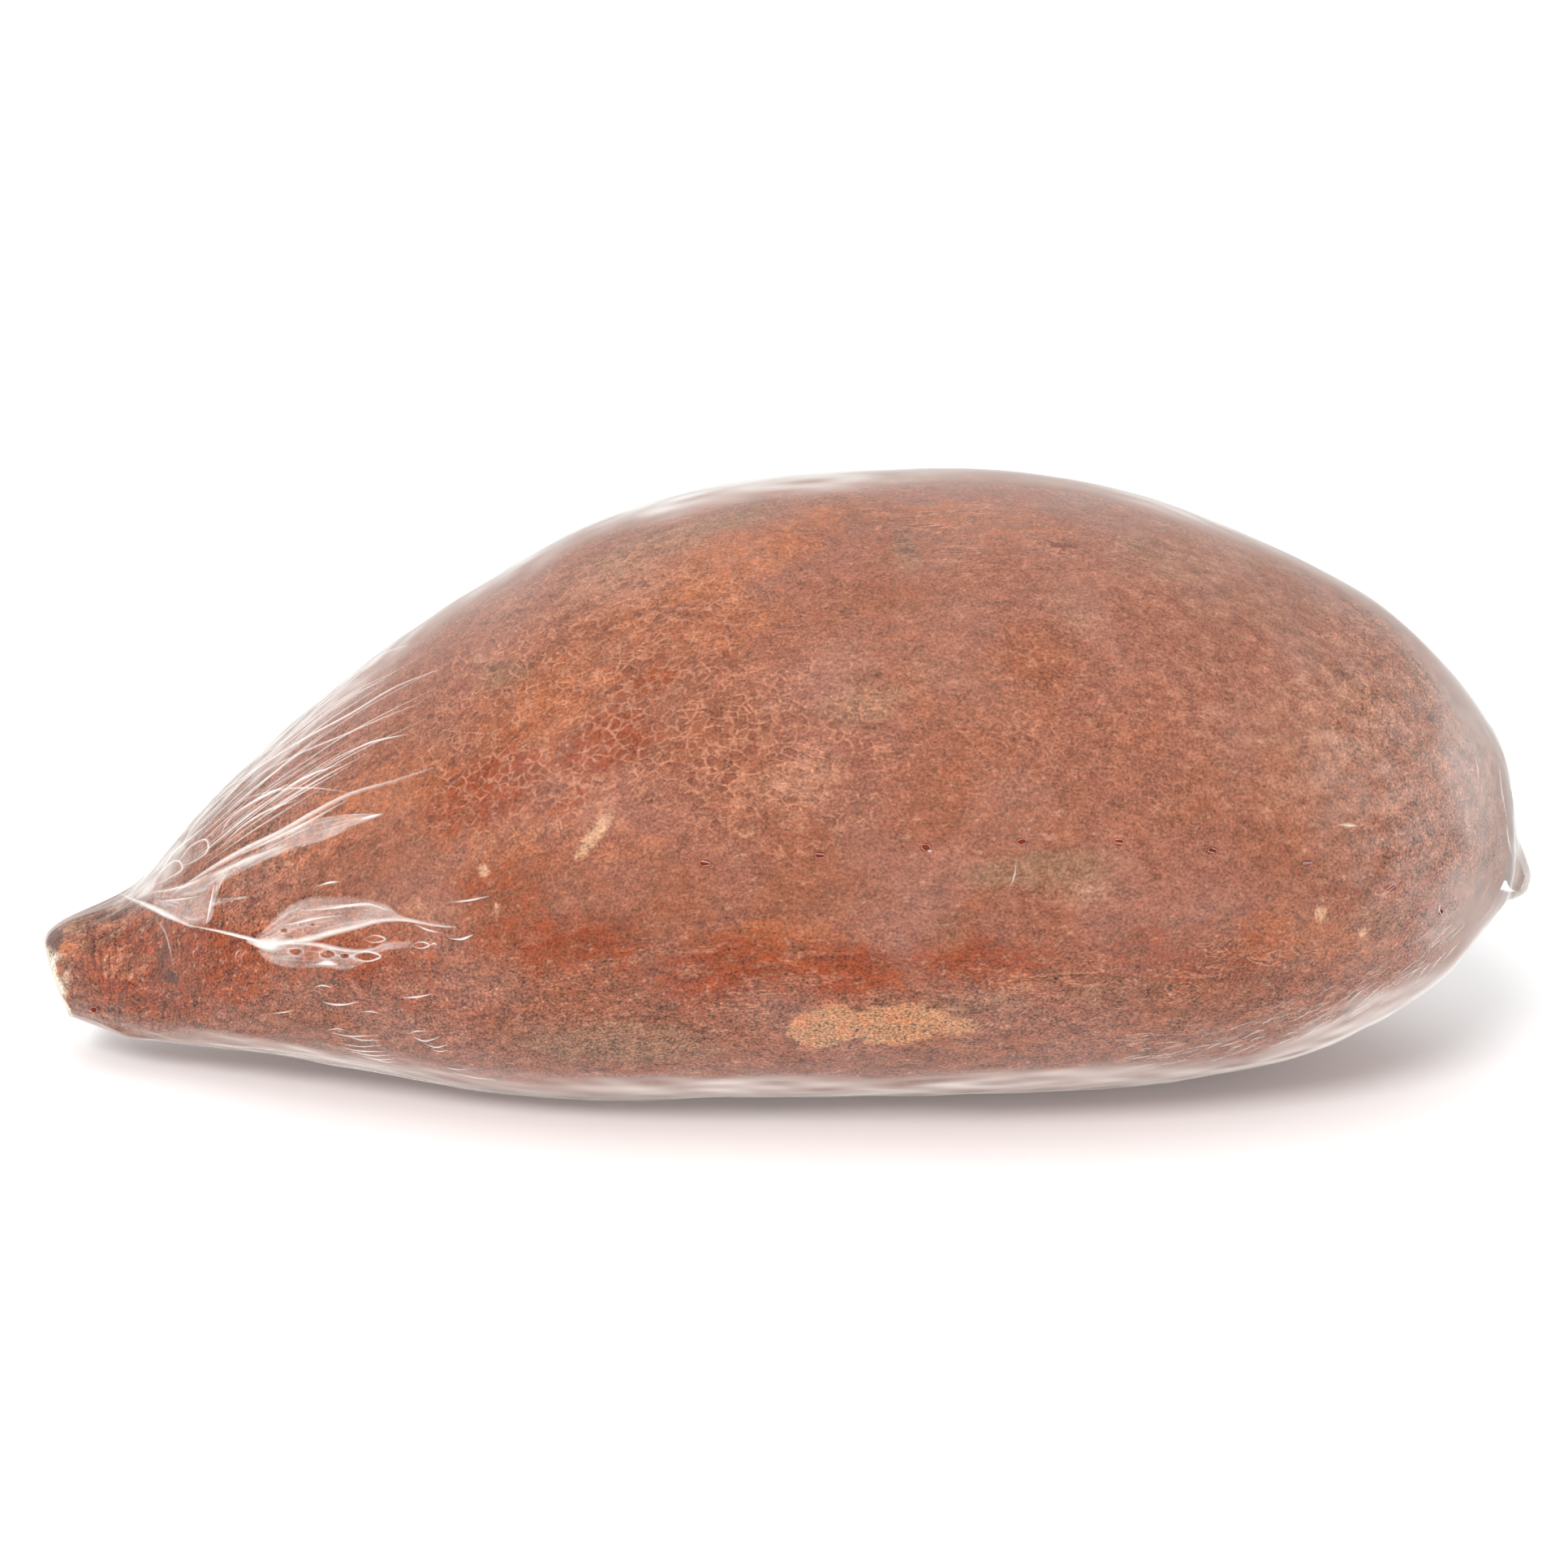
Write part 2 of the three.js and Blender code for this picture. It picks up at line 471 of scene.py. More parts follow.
def read_normals(piece: bpy.types.Object) -> np.ndarray:
    """A piece's vertex normals."""
    flat = np.empty(len(piece.data.vertices) * 3)
    piece.data.vertex_normals.foreach_get("vector", flat)
    return flat.reshape(-1, 3)


def write_mark(piece: bpy.types.Object, name: str, values: np.ndarray) -> None:
    """Stores one number for each vertex, for the material to read."""
    layer = piece.data.attributes.new(name, "FLOAT", "POINT")
    layer.data.foreach_set("value", np.clip(values, 0, 1).astype(np.float32))


class Mark(Enum):
    """What a patch of skin shows. The value is the attribute that the material reads."""

    ORANGE = "orange"
    DEEP = "deep_red"
    GREY = "grey_brown"
    PALE = "pale"
    SCAR = "scar"
    NET = "net"
    CRACK = "crack"
    STREAK = "streak"
    SPOT = "spot"
    CUT = "cut"
    TENT_SHADE = "rim"
    # Painted shade under the film's tent at the tail
    SCUFF = "scuff"
    BARK = "bark"
    HUSK = "husk"
    WORN = "worn"


@dataclass(frozen=True)
class Patch:
    """An oval patch of skin, placed where the photograph shows it.

    Attributes:
        mark: What the patch shows.
        x: Pixel across of its middle.
        y: Pixel down of its middle.
        wide: Half width in pixels.
        high: Half height in pixels.
        turn: Degrees that it is turned, up at the right.
        strength: How strongly it shows.
    """

    mark: Mark
    x: float
    y: float
    wide: float
    high: float
    turn: float = 0.0
    strength: float = 1.0

    def cover(self, pixels: np.ndarray) -> np.ndarray:
        """How much each pixel is covered, from 0 to the patch's strength."""
        turn = math.radians(self.turn)
        across, down = pixels[:, 0] - self.x, pixels[:, 1] - self.y
        u = (across * math.cos(turn) - down * math.sin(turn)) / self.wide
        v = (across * math.sin(turn) + down * math.cos(turn)) / self.high
        return self.strength * np.exp(-((u**2 + v**2) ** 1.3))


PATCHES: tuple[Patch, ...] = tuple(
    Patch(mark, *oval)
    for mark, ovals in {
        Mark.ORANGE: (
            (905, 690, 120, 42, 22), (770, 760, 120, 48, 25, 0.5), (655, 880, 110, 75, 35, 0.8),
            (470, 975, 120, 40, 22, 0.8), (380, 1040, 90, 30, 20, 0.6), (950, 1170, 110, 45, -4, 0.8),
            (1600, 1160, 110, 42, 0, 0.8), (560, 1180, 90, 30, 5, 0.4), (1000, 640, 70, 22, 14, 0.8),
            (640, 1010, 130, 90, 20, 0.6), (760, 1040, 130, 50, 0, 0.35), (900, 770, 90, 50, 20, 0.7),
            (330, 1170, 170, 60, 10, 0.6), (1200, 640, 150, 40, 0, 0.5), (81, 1168, 9, 8, 0, 2.0),
            (82, 1232, 6, 10, 0, 1.6), (1872, 1072, 8, 16, 0, 1.2),
        ),
        Mark.DEEP: (
            (745, 915, 66, 30, 24, 1.6), (690, 985, 60, 26, 24, 0.7), (230, 1190, 130, 60, 8, 1.05),
            (812, 836, 58, 20, 24, 0.6), (615, 970, 76, 46, 28, 1.1), (560, 1000, 60, 40, 30, 0.6),
            (890, 1195, 110, 50, 4, 1.0), (1200, 1185, 110, 44, 0, 0.7), (1118, 672, 26, 46, 12, 0.7),
            (420, 1190, 140, 60, 0, 0.6), (1030, 1190, 110, 34, -4, 1.0), (620, 1090, 90, 50, 10, 0.5),
            (700, 1165, 150, 46, 0, 0.8), (1240, 610, 130, 14, 0, 0.6), (1480, 1180, 180, 50, 0, 0.6),
            (500, 1240, 150, 30, 0, 0.4),
        ),
        Mark.GREY: (
            (1300, 1070, 85, 34, 8), (1225, 1078, 36, 18, 0, 0.9), (1118, 675, 20, 42, 12, 0.9),
            (790, 680, 90, 22, 20, 0.9), (905, 640, 80, 14, 14, 0.8), (625, 830, 40, 20, 20, 1.2),
            (1060, 870, 60, 36, 10, 0.8), (1160, 820, 60, 30, 0, 0.4), (1320, 740, 30, 60, 10, 0.4),
            (1420, 680, 60, 40, -20, 0.5), (1570, 900, 80, 40, 0, 0.5), (1700, 1130, 40, 26, 0, 0.6),
            (760, 1285, 130, 26, -2, 1.1), (1190, 1240, 130, 26, 8, 0.6), (1370, 1220, 90, 24, 8, 0.6),
            (1160, 1150, 60, 30, 0, 0.4), (1500, 770, 60, 40, 0, 0.4), (140, 1120, 26, 10, 20, 0.9),
            (80, 1212, 8, 12, 0, 1.2), (90, 1140, 26, 14, 30, 0.9),
        ),
        Mark.SPOT: (
            (1112, 668, 12, 34, 10, 0.45), (208, 1203, 15, 8, -30, 1.4), (203, 1176, 7, 20, -14, 0.9),
            (212, 1230, 30, 12, 20, 0.5), (67, 1158, 9, 15, -10, 1.6), (77, 1231, 4, 8, -20, 1.2),
            (74, 1247, 5, 6, -30, 1.0), (60, 1178, 5, 7, 0, 0.8), (140, 1128, 34, 9, 15, 0.7),
            (309, 1106, 6, 4, 0, 0.9), (408, 955, 5, 4, 0, 0.9), (432, 970, 5, 3, 0, 0.7),
            (606, 826, 6, 5, 0, 0.9), (552, 915, 6, 4, 0, 0.8), (1315, 735, 5, 5, 0, 0.8),
            (1800, 925, 8, 7, -30, 0.8), (1425, 1080, 8, 7, 30, 0.8), (1174, 1128, 4, 4, 0, 0.9),
            (1245, 1074, 5, 11, 0, 0.7), (1660, 1203, 9, 4, 10, 0.7), (1762, 885, 12, 4, -50, 0.6),
            (1388, 886, 5, 5, 0, 0.6), (985, 1038, 12, 6, 0, 0.5), (1861, 1060, 3, 14, 8, 0.9),
        ),
        Mark.PALE: (
            (985, 960, 80, 50, 30, 0.8), (925, 890, 60, 30, 30, 0.6), (720, 770, 70, 20, 25, 0.5),
            (150, 1185, 40, 26, 10, 0.5), (1240, 700, 200, 30, 0, 0.25), (1330, 1100, 50, 22, 10, 0.8),
            (1640, 970, 150, 60, 0, 0.5), (1700, 880, 90, 60, -30, 0.4), (545, 1120, 60, 26, 0, 0.4),
            (640, 640, 90, 30, 26, 0.5), (1640, 900, 260, 210, -20, 0.55), (1480, 720, 170, 70, -18, 0.55),
            (1790, 1010, 70, 130, 0, 0.5), (760, 720, 130, 50, 25, 0.7),
        ),
        Mark.SCUFF: (
            (731, 1030, 48, 10, 53, 0.9), (1627, 1126, 9, 13, 10, 0.9), (1680, 1150, 9, 16, 20, 0.6),
            (596, 1072, 10, 9, 0, 0.9), (612, 1120, 6, 15, -10, 0.7), (985, 965, 60, 26, 25, 0.40),
            (930, 905, 40, 14, 25, 0.45), (935, 1020, 90, 16, 25, 0.45), (1330, 1100, 44, 14, 8, 0.4),
            (1660, 1017, 16, 4, 0, 0.8), (590, 812, 16, 10, 0, 0.5),
        ),
        Mark.CRACK: (
            (760, 790, 220, 80, 25, 0.7), (1480, 1210, 330, 80, 4, 1.3), (1250, 640, 280, 60, 0, 1.3),
            (1600, 720, 120, 60, -35, 0.6), (800, 1210, 420, 80, 0, 0.9),
        ),
        Mark.SCAR: (
            (1022, 1268, 50, 26, 6), (1100, 1264, 66, 27, 7), (1190, 1262, 70, 16, 6, 0.5),
        ),
        Mark.NET: (
            (730, 860, 260, 170, 30), (940, 920, 200, 150, 0, 0.8), (1350, 900, 300, 200, 0, 0.35),
        ),
        Mark.STREAK: (
            (190, 1190, 150, 90, 10), (430, 1240, 260, 60, -4), (450, 980, 170, 90, 25, 0.7),
            (760, 1170, 260, 60, 0, 0.5),
        ),
    }.items()
    for oval in ovals
)


@dataclass
class StorageRoot:
    """The root itself: neck with its knife cut, belly, blunt tail and dry rootlet.

    Attributes:
        sides: Faces round the root.
        steps: Faces along it.
        inset: How far its skin lies inside the film solid's outside, in millimetres.
        most_lift: No lump stands out further than this, so the film stays clear of it.
        measured_rings: Rings at which the length along the skin is measured.
        hidden_patches: Seeded patches on the sides that the photograph doesn't show.
    """

    sides: int = 290
    steps: int = 342
    inset: float = 0.38
    most_lift: float = 0.16
    measured_rings: int = 600
    hidden_patches: int = 34
    knots: tuple[tuple[float, float, float], ...] = ((68, 1158, 0.7), (79, 1236, 0.5), (60, 1196, 0.3))
    hollows: tuple[tuple[float, float, float, float], ...] = (
        (9, 232, 0.7, 7),
        (-28, 158, 0.5, 5),
        (31, 141, 0.5, 5),
        (40, 184, 0.4, 5),
        (58, 118, 0.5, 6),
        (-12, 80, 0.5, 6),
        (-46, 205, 0.5, 6),
        (18, 20, 0.7, 7),
        (-24, 340, 0.5, 6),
        (50, 300, 0.5, 6),
        (-52, 60, 0.5, 6),
    )

    def build(self, material: bpy.types.Material) -> bpy.types.Object:
        """Wraps, carves and marks the root.

        Args:
            material: The skin's material.

        Returns:
            The finished piece.
        """
        skin = wrap_form(ROOT_FORM, self.sides, self.steps, crowd=1.1)
        self.lay_coordinates(skin)
        lift = np.minimum(self.relief(skin), self.most_lift) - self.inset
        close_skin(skin, skin.points + skin.normals * lift[:, None])
        piece = piece_from(skin.net, "root_skin", material)
        self.mark(piece)
        return piece

    def lay_coordinates(self, skin: Skin) -> None:
        """Stores where each vertex lies on the root drawn out straight, in metres.

        The length is measured along the skin, so patterns that read it keep their size on both blunt ends.
        """
        shares = np.linspace(0, 1, self.measured_rings)
        length = np.interp(skin.along, shares, lengths_along(ROOT_FORM.ring_at(shares)[:, :3]))
        layer = skin.net.verts.layers.float_vector.new("grown")
        radius = np.maximum(ROOT_FORM.ring_at(skin.along)[:, 2], 0)[:, None]
        around = radius * np.c_[np.cos(skin.around), np.sin(skin.around)]
        for vert, place in zip(skin.net.verts, np.c_[length, around] * MM):
            vert[layer] = place

    def relief(self, skin: Skin) -> np.ndarray:
        """How far the skin stands out at each vertex, in millimetres."""
        points, angle = skin.points, skin.around
        x = points[:, 0]
        radius = np.linalg.norm(points[:, 1:] - [0, 30], axis=1)
        lift = 0.09 * Grain(11, 13.0, (1.6, 1, 1)).at(points)
        lift += 0.035 * Grain(12, 4.2, (2.2, 1, 1)).at(points)
        neck = ease(-25, -60, x)
        lift += neck * 0.05 * Grain(13, 2.6, (6, 1, 1)).at(points)
        furrow = Grain(14, 7.0, (5, 1, 1)).at(points)
        lift -= 0.10 * ease(0.35, 0.0, np.abs(furrow)) * ease(0.2, 1.2, Grain(15, 16.0).at(points))
        for hollow_x, degrees, depth, reach in self.hollows:
            turn = angle - math.radians(degrees)
            across = radius * np.arctan2(np.sin(turn), np.cos(turn))
            away = ((x - hollow_x) ** 2 + across**2) / reach**2
            lift -= 0.55 * depth * np.exp(-away)
        pixels, seen = self.seen_pixels(points, skin.normals)
        for knot_x, knot_y, height in self.knots:
            away = np.hypot(pixels[:, 0] - knot_x, pixels[:, 1] - knot_y)
            lift += seen * height * 0.3 * np.exp(-((away / 9) ** 2))
        scar = Patch(Mark.SCAR, 1065, 1267, 92, 28, 6).cover(pixels)
        return lift - seen * 0.12 * ease(0.25, 0.6, scar)

    def seen_pixels(self, points: np.ndarray, normals: np.ndarray) -> tuple[np.ndarray, np.ndarray]:
        """Pixels of points, and how surely each one faces the photograph's camera."""
        toward = VIEW.eye - points
        toward /= np.linalg.norm(toward, axis=1)[:, None]
        facing = np.sum(toward * normals, axis=1)
        return VIEW.pixels(points), ease(-0.05, 0.12, facing)

    def mark(self, piece: bpy.types.Object) -> None:
        """Writes how much of each mark every vertex shows."""
        points, normals = read_points(piece), read_normals(piece)
        pixels, seen = self.seen_pixels(points, normals)
        cover = {mark: np.zeros(len(points)) for mark in Mark}
        for patch in PATCHES:
            cover[patch.mark] = np.maximum(cover[patch.mark], seen * patch.cover(pixels))
        self.mark_hidden_sides(points, 1 - seen, cover)
        x, lean = points[:, 0], -normals[:, 0]
        cover[Mark.CUT] = ease(0.52, 0.74, lean) * ease(-76.2, -77.6, x) * ease(13.6, 11.9, points[:, 2])
        # Painted shade of the film tent: a grey band round the tail end
        cover[Mark.TENT_SHADE] = ease(76.2, 77.6, x) * ease(79.0, 78.3, x)
        cover[Mark.HUSK] = ease(78.3, 79.0, x)
        cover[Mark.STREAK] = np.maximum(cover[Mark.STREAK], 0.9 * ease(-35, -50, x) * ease(-64, -58, x))
        ends = np.maximum(ease(-40, -58, x), ease(50, 68, x))
        cover[Mark.WORN] = np.maximum(ease(30, 12, points[:, 2]), ends)
        cover[Mark.BARK] = ease(-58, -64, x) * ease(-78, -75, x)
        for mark, values in cover.items():
            write_mark(piece, mark.value, values)
        # Offsets from the vents, which place the painted shade seen through the holes
        vent_shade_layer = piece.data.attributes.new("from_vent", "FLOAT_VECTOR", "POINT")
        vent_shade_layer.data.foreach_set("vector", self.vent_offsets(points, normals).astype(np.float32).ravel())

    @staticmethod
    def vent_offsets(points: np.ndarray, normals: np.ndarray) -> np.ndarray:
        """Where each vertex lies from the nearest vent, in half widths of the hole, front and back."""
        nearest = np.full((len(points), 3), 9.0)
        for side in (1, -1):
            pixels = VIEW.pixels(points * [1, side, 1])
            for vent in VENTS:
                away = (pixels - (vent.x, vent.y)) / (VENT_PIXELS * vent.wide, VENT_PIXELS * vent.high)
                distance = np.linalg.norm(away, axis=1)
                near = (distance < 4) & (side * normals[:, 1] < 0)
                nearest[near] = np.c_[away[near], np.zeros(near.sum())]
        return nearest

    def mark_hidden_sides(
        self, points: np.ndarray, hidden: np.ndarray, cover: dict[Mark, np.ndarray]
    ) -> None:
        """Adds seeded patches where the photograph doesn't see the root.

        Args:
            points: The skin's points.
            hidden: 1 where the photograph doesn't show the skin, 0 where it does.
            cover: What each mark covers, which is added to.
        """
        draw = np.random.default_rng(207)
        kinds = (Mark.ORANGE, Mark.DEEP, Mark.GREY, Mark.PALE, Mark.NET, Mark.CRACK)
        for number in range(self.hidden_patches):
            mark = kinds[number % len(kinds)]
            angle = draw.uniform(-1.9, 1.4)
            along = draw.uniform(0.12, 0.9)
            middle = (FILM_FORM.points(np.array([along]), np.array([angle])) + SHIFT)[0]
            size = draw.uniform(5, 15) * (2.2 if mark in (Mark.NET, Mark.CRACK) else 1.0)
            long = draw.uniform(1.3, 2.6)
            away = (points - middle) / np.array([size * long, size, size])
            patch = hidden * draw.uniform(0.5, 1.0) * np.exp(-((away**2).sum(1) ** 1.3))
            cover[mark] = np.maximum(cover[mark], patch)


@dataclass(frozen=True)
class Vent:
    """A hole pricked through the film, with a rim that drew back when the film was shrunk.

    Attributes:
        x: Pixel across of its middle.
        y: Pixel down of its middle.
        wide: Half width in millimetres.
        high: Half height in millimetres.
        turn: Degrees that it is turned, up at the right.
    """

    x: float
    y: float
    wide: float = 0.55
    high: float = 0.32
    turn: float = 0.0


VENTS: tuple[Vent, ...] = (
    Vent(868, 1064, 0.52, 0.30, 4),
    Vent(1010, 1054, 0.46, 0.30, 6),
    Vent(1141, 1044, 0.46, 0.34, 25),
    Vent(1259, 1037, 0.44, 0.30, -4),
    Vent(1379, 1037, 0.46, 0.30, 8),
    Vent(1494, 1048, 0.50, 0.27, 5),
    Vent(1611, 1063, 0.50, 0.20, 0),
    Vent(1713, 1094, 0.52, 0.26, -25),
    Vent(1775, 1124, 0.34, 0.42, -40),
    Vent(116, 1244, 0.55, 0.34, -50),
)


@dataclass
class ShrinkFilm:
    """The clear film drawn tight round the root.

    Attributes:
        sides: Faces round the film.
        steps: Faces along it.
        inset: How far it lies inside the film solid's outside, in millimetres.
        clear_ring: Faces nearer to a vent than this are cut away and bridged again, in millimetres.
    """

    sides: int = 288
    steps: int = 330
    inset: float = 0.08
    clear_ring: float = 1.15
    body: bpy.types.Object | None = None
    tree: BVHTree | None = field(default=None, repr=False)

    def build(self, material: bpy.types.Material) -> bpy.types.Object:
        """Wraps the film, ripples it and pricks its vents.

        Args:
            material: The film's material.

        Returns:
            The finished piece.
        """
        skin = wrap_form(FILM_FORM, self.sides, self.steps, crowd=1.15)
        skin.net.verts.layers.float.new("veil")
        lift = np.maximum(self.relief(skin), -0.05) - self.inset
        close_skin(skin, skin.points + skin.normals * lift[:, None])
        self.tree = BVHTree.FromBMesh(skin.net)
        self.prick(skin.net)
        self.body = piece_from(skin.net, "film_wrap", material)
        self.mark()
        return self.body

    def relief(self, skin: Skin) -> np.ndarray:
        """Ripples of the film, in millimetres: pleats over the neck and fine creases underneath."""
        points = skin.points
        x, z = points[:, 0], points[:, 2]
        neck = ease(-28, -58, x) * ease(-79, -72, x)
        pleats = np.sin(17 * skin.around + 1.5 * np.sin(x / 9) + x / 7)
        lift = neck * 0.10 * np.abs(pleats) * (0.6 + 0.4 * np.sin(x / 3.1))
        lift += neck * 0.05 * Grain(21, 3.0, (7, 1, 1)).at(points)
        belly = ease(14, 4, z) * ease(-60, -30, x)
        lift += belly * 0.04 * Grain(22, 2.4, (3.5, 1, 1)).at(points)
        tent = ease(73.5, 76.5, x)
        lift += tent * 0.03 * Grain(23, 3.2, (1, 1, 1)).at(points)
        lift += 0.02 * Grain(24, 6.0, (2, 1, 1)).at(points)
        floor = ease(0.8, 0.0, z)
        return np.where(lift > 0, lift * (1 - floor), lift)

    def centre_of(self, vent: Vent) -> tuple[Vector, Vector]:
        """Where a vent lies on the film, in metres, and the film's normal there."""
        origin, way = VIEW.ray((vent.x, vent.y))
        place, normal, _, _ = self.tree.ray_cast(origin * MM, way)
        return place, normal

    def prick(self, net: bmesh.types.BMesh) -> None:
        """Cuts the vents in the closed film, the same on the front and mirrored on the back."""
        for vent in VENTS:
            place, normal = self.centre_of(vent)
            self.cut_vent(net, vent, place, normal)
            if place.x > -0.05:
                start = Vector((place.x, 0.1, place.z))
                back, outward, _, _ = self.tree.ray_cast(start, Vector((0, -1, 0)))
                self.cut_vent(net, vent, back, outward)

    def cut_vent(self, net: bmesh.types.BMesh, vent: Vent, place: Vector, normal: Vector) -> None:
        """Opens one vent: the faces round it go, and a narrow collar leads to its oval edge."""
        reach = self.clear_ring * MM
        near = [v for v in net.verts if (v.co - place).length < reach]
        faces = {f for v in near for f in v.link_faces}
        inner = [f for f in faces if all((v.co - place).length < reach for v in f.verts)]
        bmesh.ops.delete(net, geom=inner, context="FACES")
        rim = [
            e for e in net.edges
            if e.is_boundary and (e.verts[0].co - place).length < 2 * reach
        ]
        lengthwise = Vector((1, 0, 0)) - normal * normal.x
        lengthwise.normalize()
        across = normal.cross(lengthwise)
        turn = math.radians(vent.turn) * (-1 if normal.y < 0 else 1)
        layer = net.verts.layers.float["veil"]
        for share, lift, veil in ((1.5, 0.01, 0.0), (1.16, 0.02, 0.0), (1.08, 0.03, 0.3), (1.0, 0.04, 0.3)):
            made = bmesh.ops.extrude_edge_only(net, edges=rim)["geom"]
            rim = [g for g in made if isinstance(g, bmesh.types.BMEdge) and g.is_boundary]
            for vert in {v for e in rim for v in e.verts}:
                away = vert.co - place
                bearing = math.atan2(away.dot(across), away.dot(lengthwise)) - turn
                u, v = vent.wide * math.cos(bearing), vent.high * math.sin(bearing)
                du = u * math.cos(turn) - v * math.sin(turn)
                dv = u * math.sin(turn) + v * math.cos(turn)
                spot = lengthwise * du * share + across * dv * share + normal * lift
                vert.co = place + spot * MM
                vert[layer] = veil

    def mark(self) -> None:
        """Writes the film's veil: where it is milky, folded double or stands off the skin, and bands of
        painted reflection along its outline and lower edge.
        """
        points, normals = read_points(self.body), read_normals(self.body)
        pixels = VIEW.pixels(points)
        toward = VIEW.eye - points
        toward /= np.linalg.norm(toward, axis=1)[:, None]
        facing = ease(-0.45, -0.05, (toward * normals).sum(1))
        rims = np.empty(len(points), np.float32)
        layer = self.body.data.attributes["veil"]
        layer.data.foreach_get("value", rims)
        veil = np.zeros(len(points))
        # Painted reflection: whitish bands along the outline, with some of the film's own milkiness
        for patch in HAZE_AND_REFLECTION_BANDS:
            veil = np.maximum(veil, facing * patch.cover(pixels))
        x, z = points[:, 0], points[:, 2]
        back = ease(10, 25, points[:, 1])
        veil = np.maximum(veil, 0.30 * back * ease(-46, -58, x) * ease(-74, -69, x))
        # Painted reflection of the floor: a whiter band low along the back, as along the front's lower edge
        veil = np.maximum(veil, 0.30 * back * ease(12, 3, z))
        veil = np.maximum(veil, 0.14 * ease(76.2, 77.8, x))
        tail = ease(60, 72, x)
        clouds = Grain(25, 3.0, (3, 1, 1)).at(points)
        veil *= 1 - 0.06 * tail + (0.25 - 0.20 * tail) * (clouds - 1)
        veil += 0.02 * ease(-0.5, 1.5, Grain(26, 14.0).at(points))
        layer.data.foreach_set("value", np.clip(np.maximum(veil, rims), 0, 1).astype(np.float32))


# Whitish bands on the film along the outline and the lower edge: painted reflection, partly the film's own
# milkiness
HAZE_AND_REFLECTION_BANDS: tuple[Patch, ...] = tuple(
    Patch(Mark.PALE, *oval)
    for oval in (
        (370, 890, 230, 20, 40, 0.30), (190, 1080, 60, 16, 40, 0.35), (104, 1117, 60, 5, 24, 0.40),
        (52, 1156, 5, 20, -20, 0.35), (880, 605, 160, 18, 14, 0.45), (1000, 592, 120, 14, 4, 0.40),
        (640, 676, 130, 24, 32, 0.38), (1450, 625, 120, 12, -18, 0.30), (1812, 950, 44, 140, 12, 0.24),
        (1800, 1110, 44, 80, -30, 0.22), (1760, 1000, 130, 190, 0, 0.09), (1640, 1275, 190, 22, 28, 0.45),
        (1300, 1330, 320, 13, 3, 0.45), (900, 1340, 300, 13, 0, 0.50), (460, 1312, 260, 12, -9, 0.30),
        (220, 1278, 130, 8, -8, 0.16),
    )
)


@dataclass(frozen=True)
class Pleat:
    """A raised crease of the film, drawn through photograph pixels.

    Attributes:
        path: Pixels along the crease.
        width: Width in pixels at its widest.
        veil: How white it is.
        height: How far it stands up, in millimetres.
        swell: Where along it is widest, from 0 to 1.
    """

    path: tuple[Pixel, ...]
    width: float = 3.0
    veil: float = 0.8
    height: float = 0.1
    swell: float = 0.5


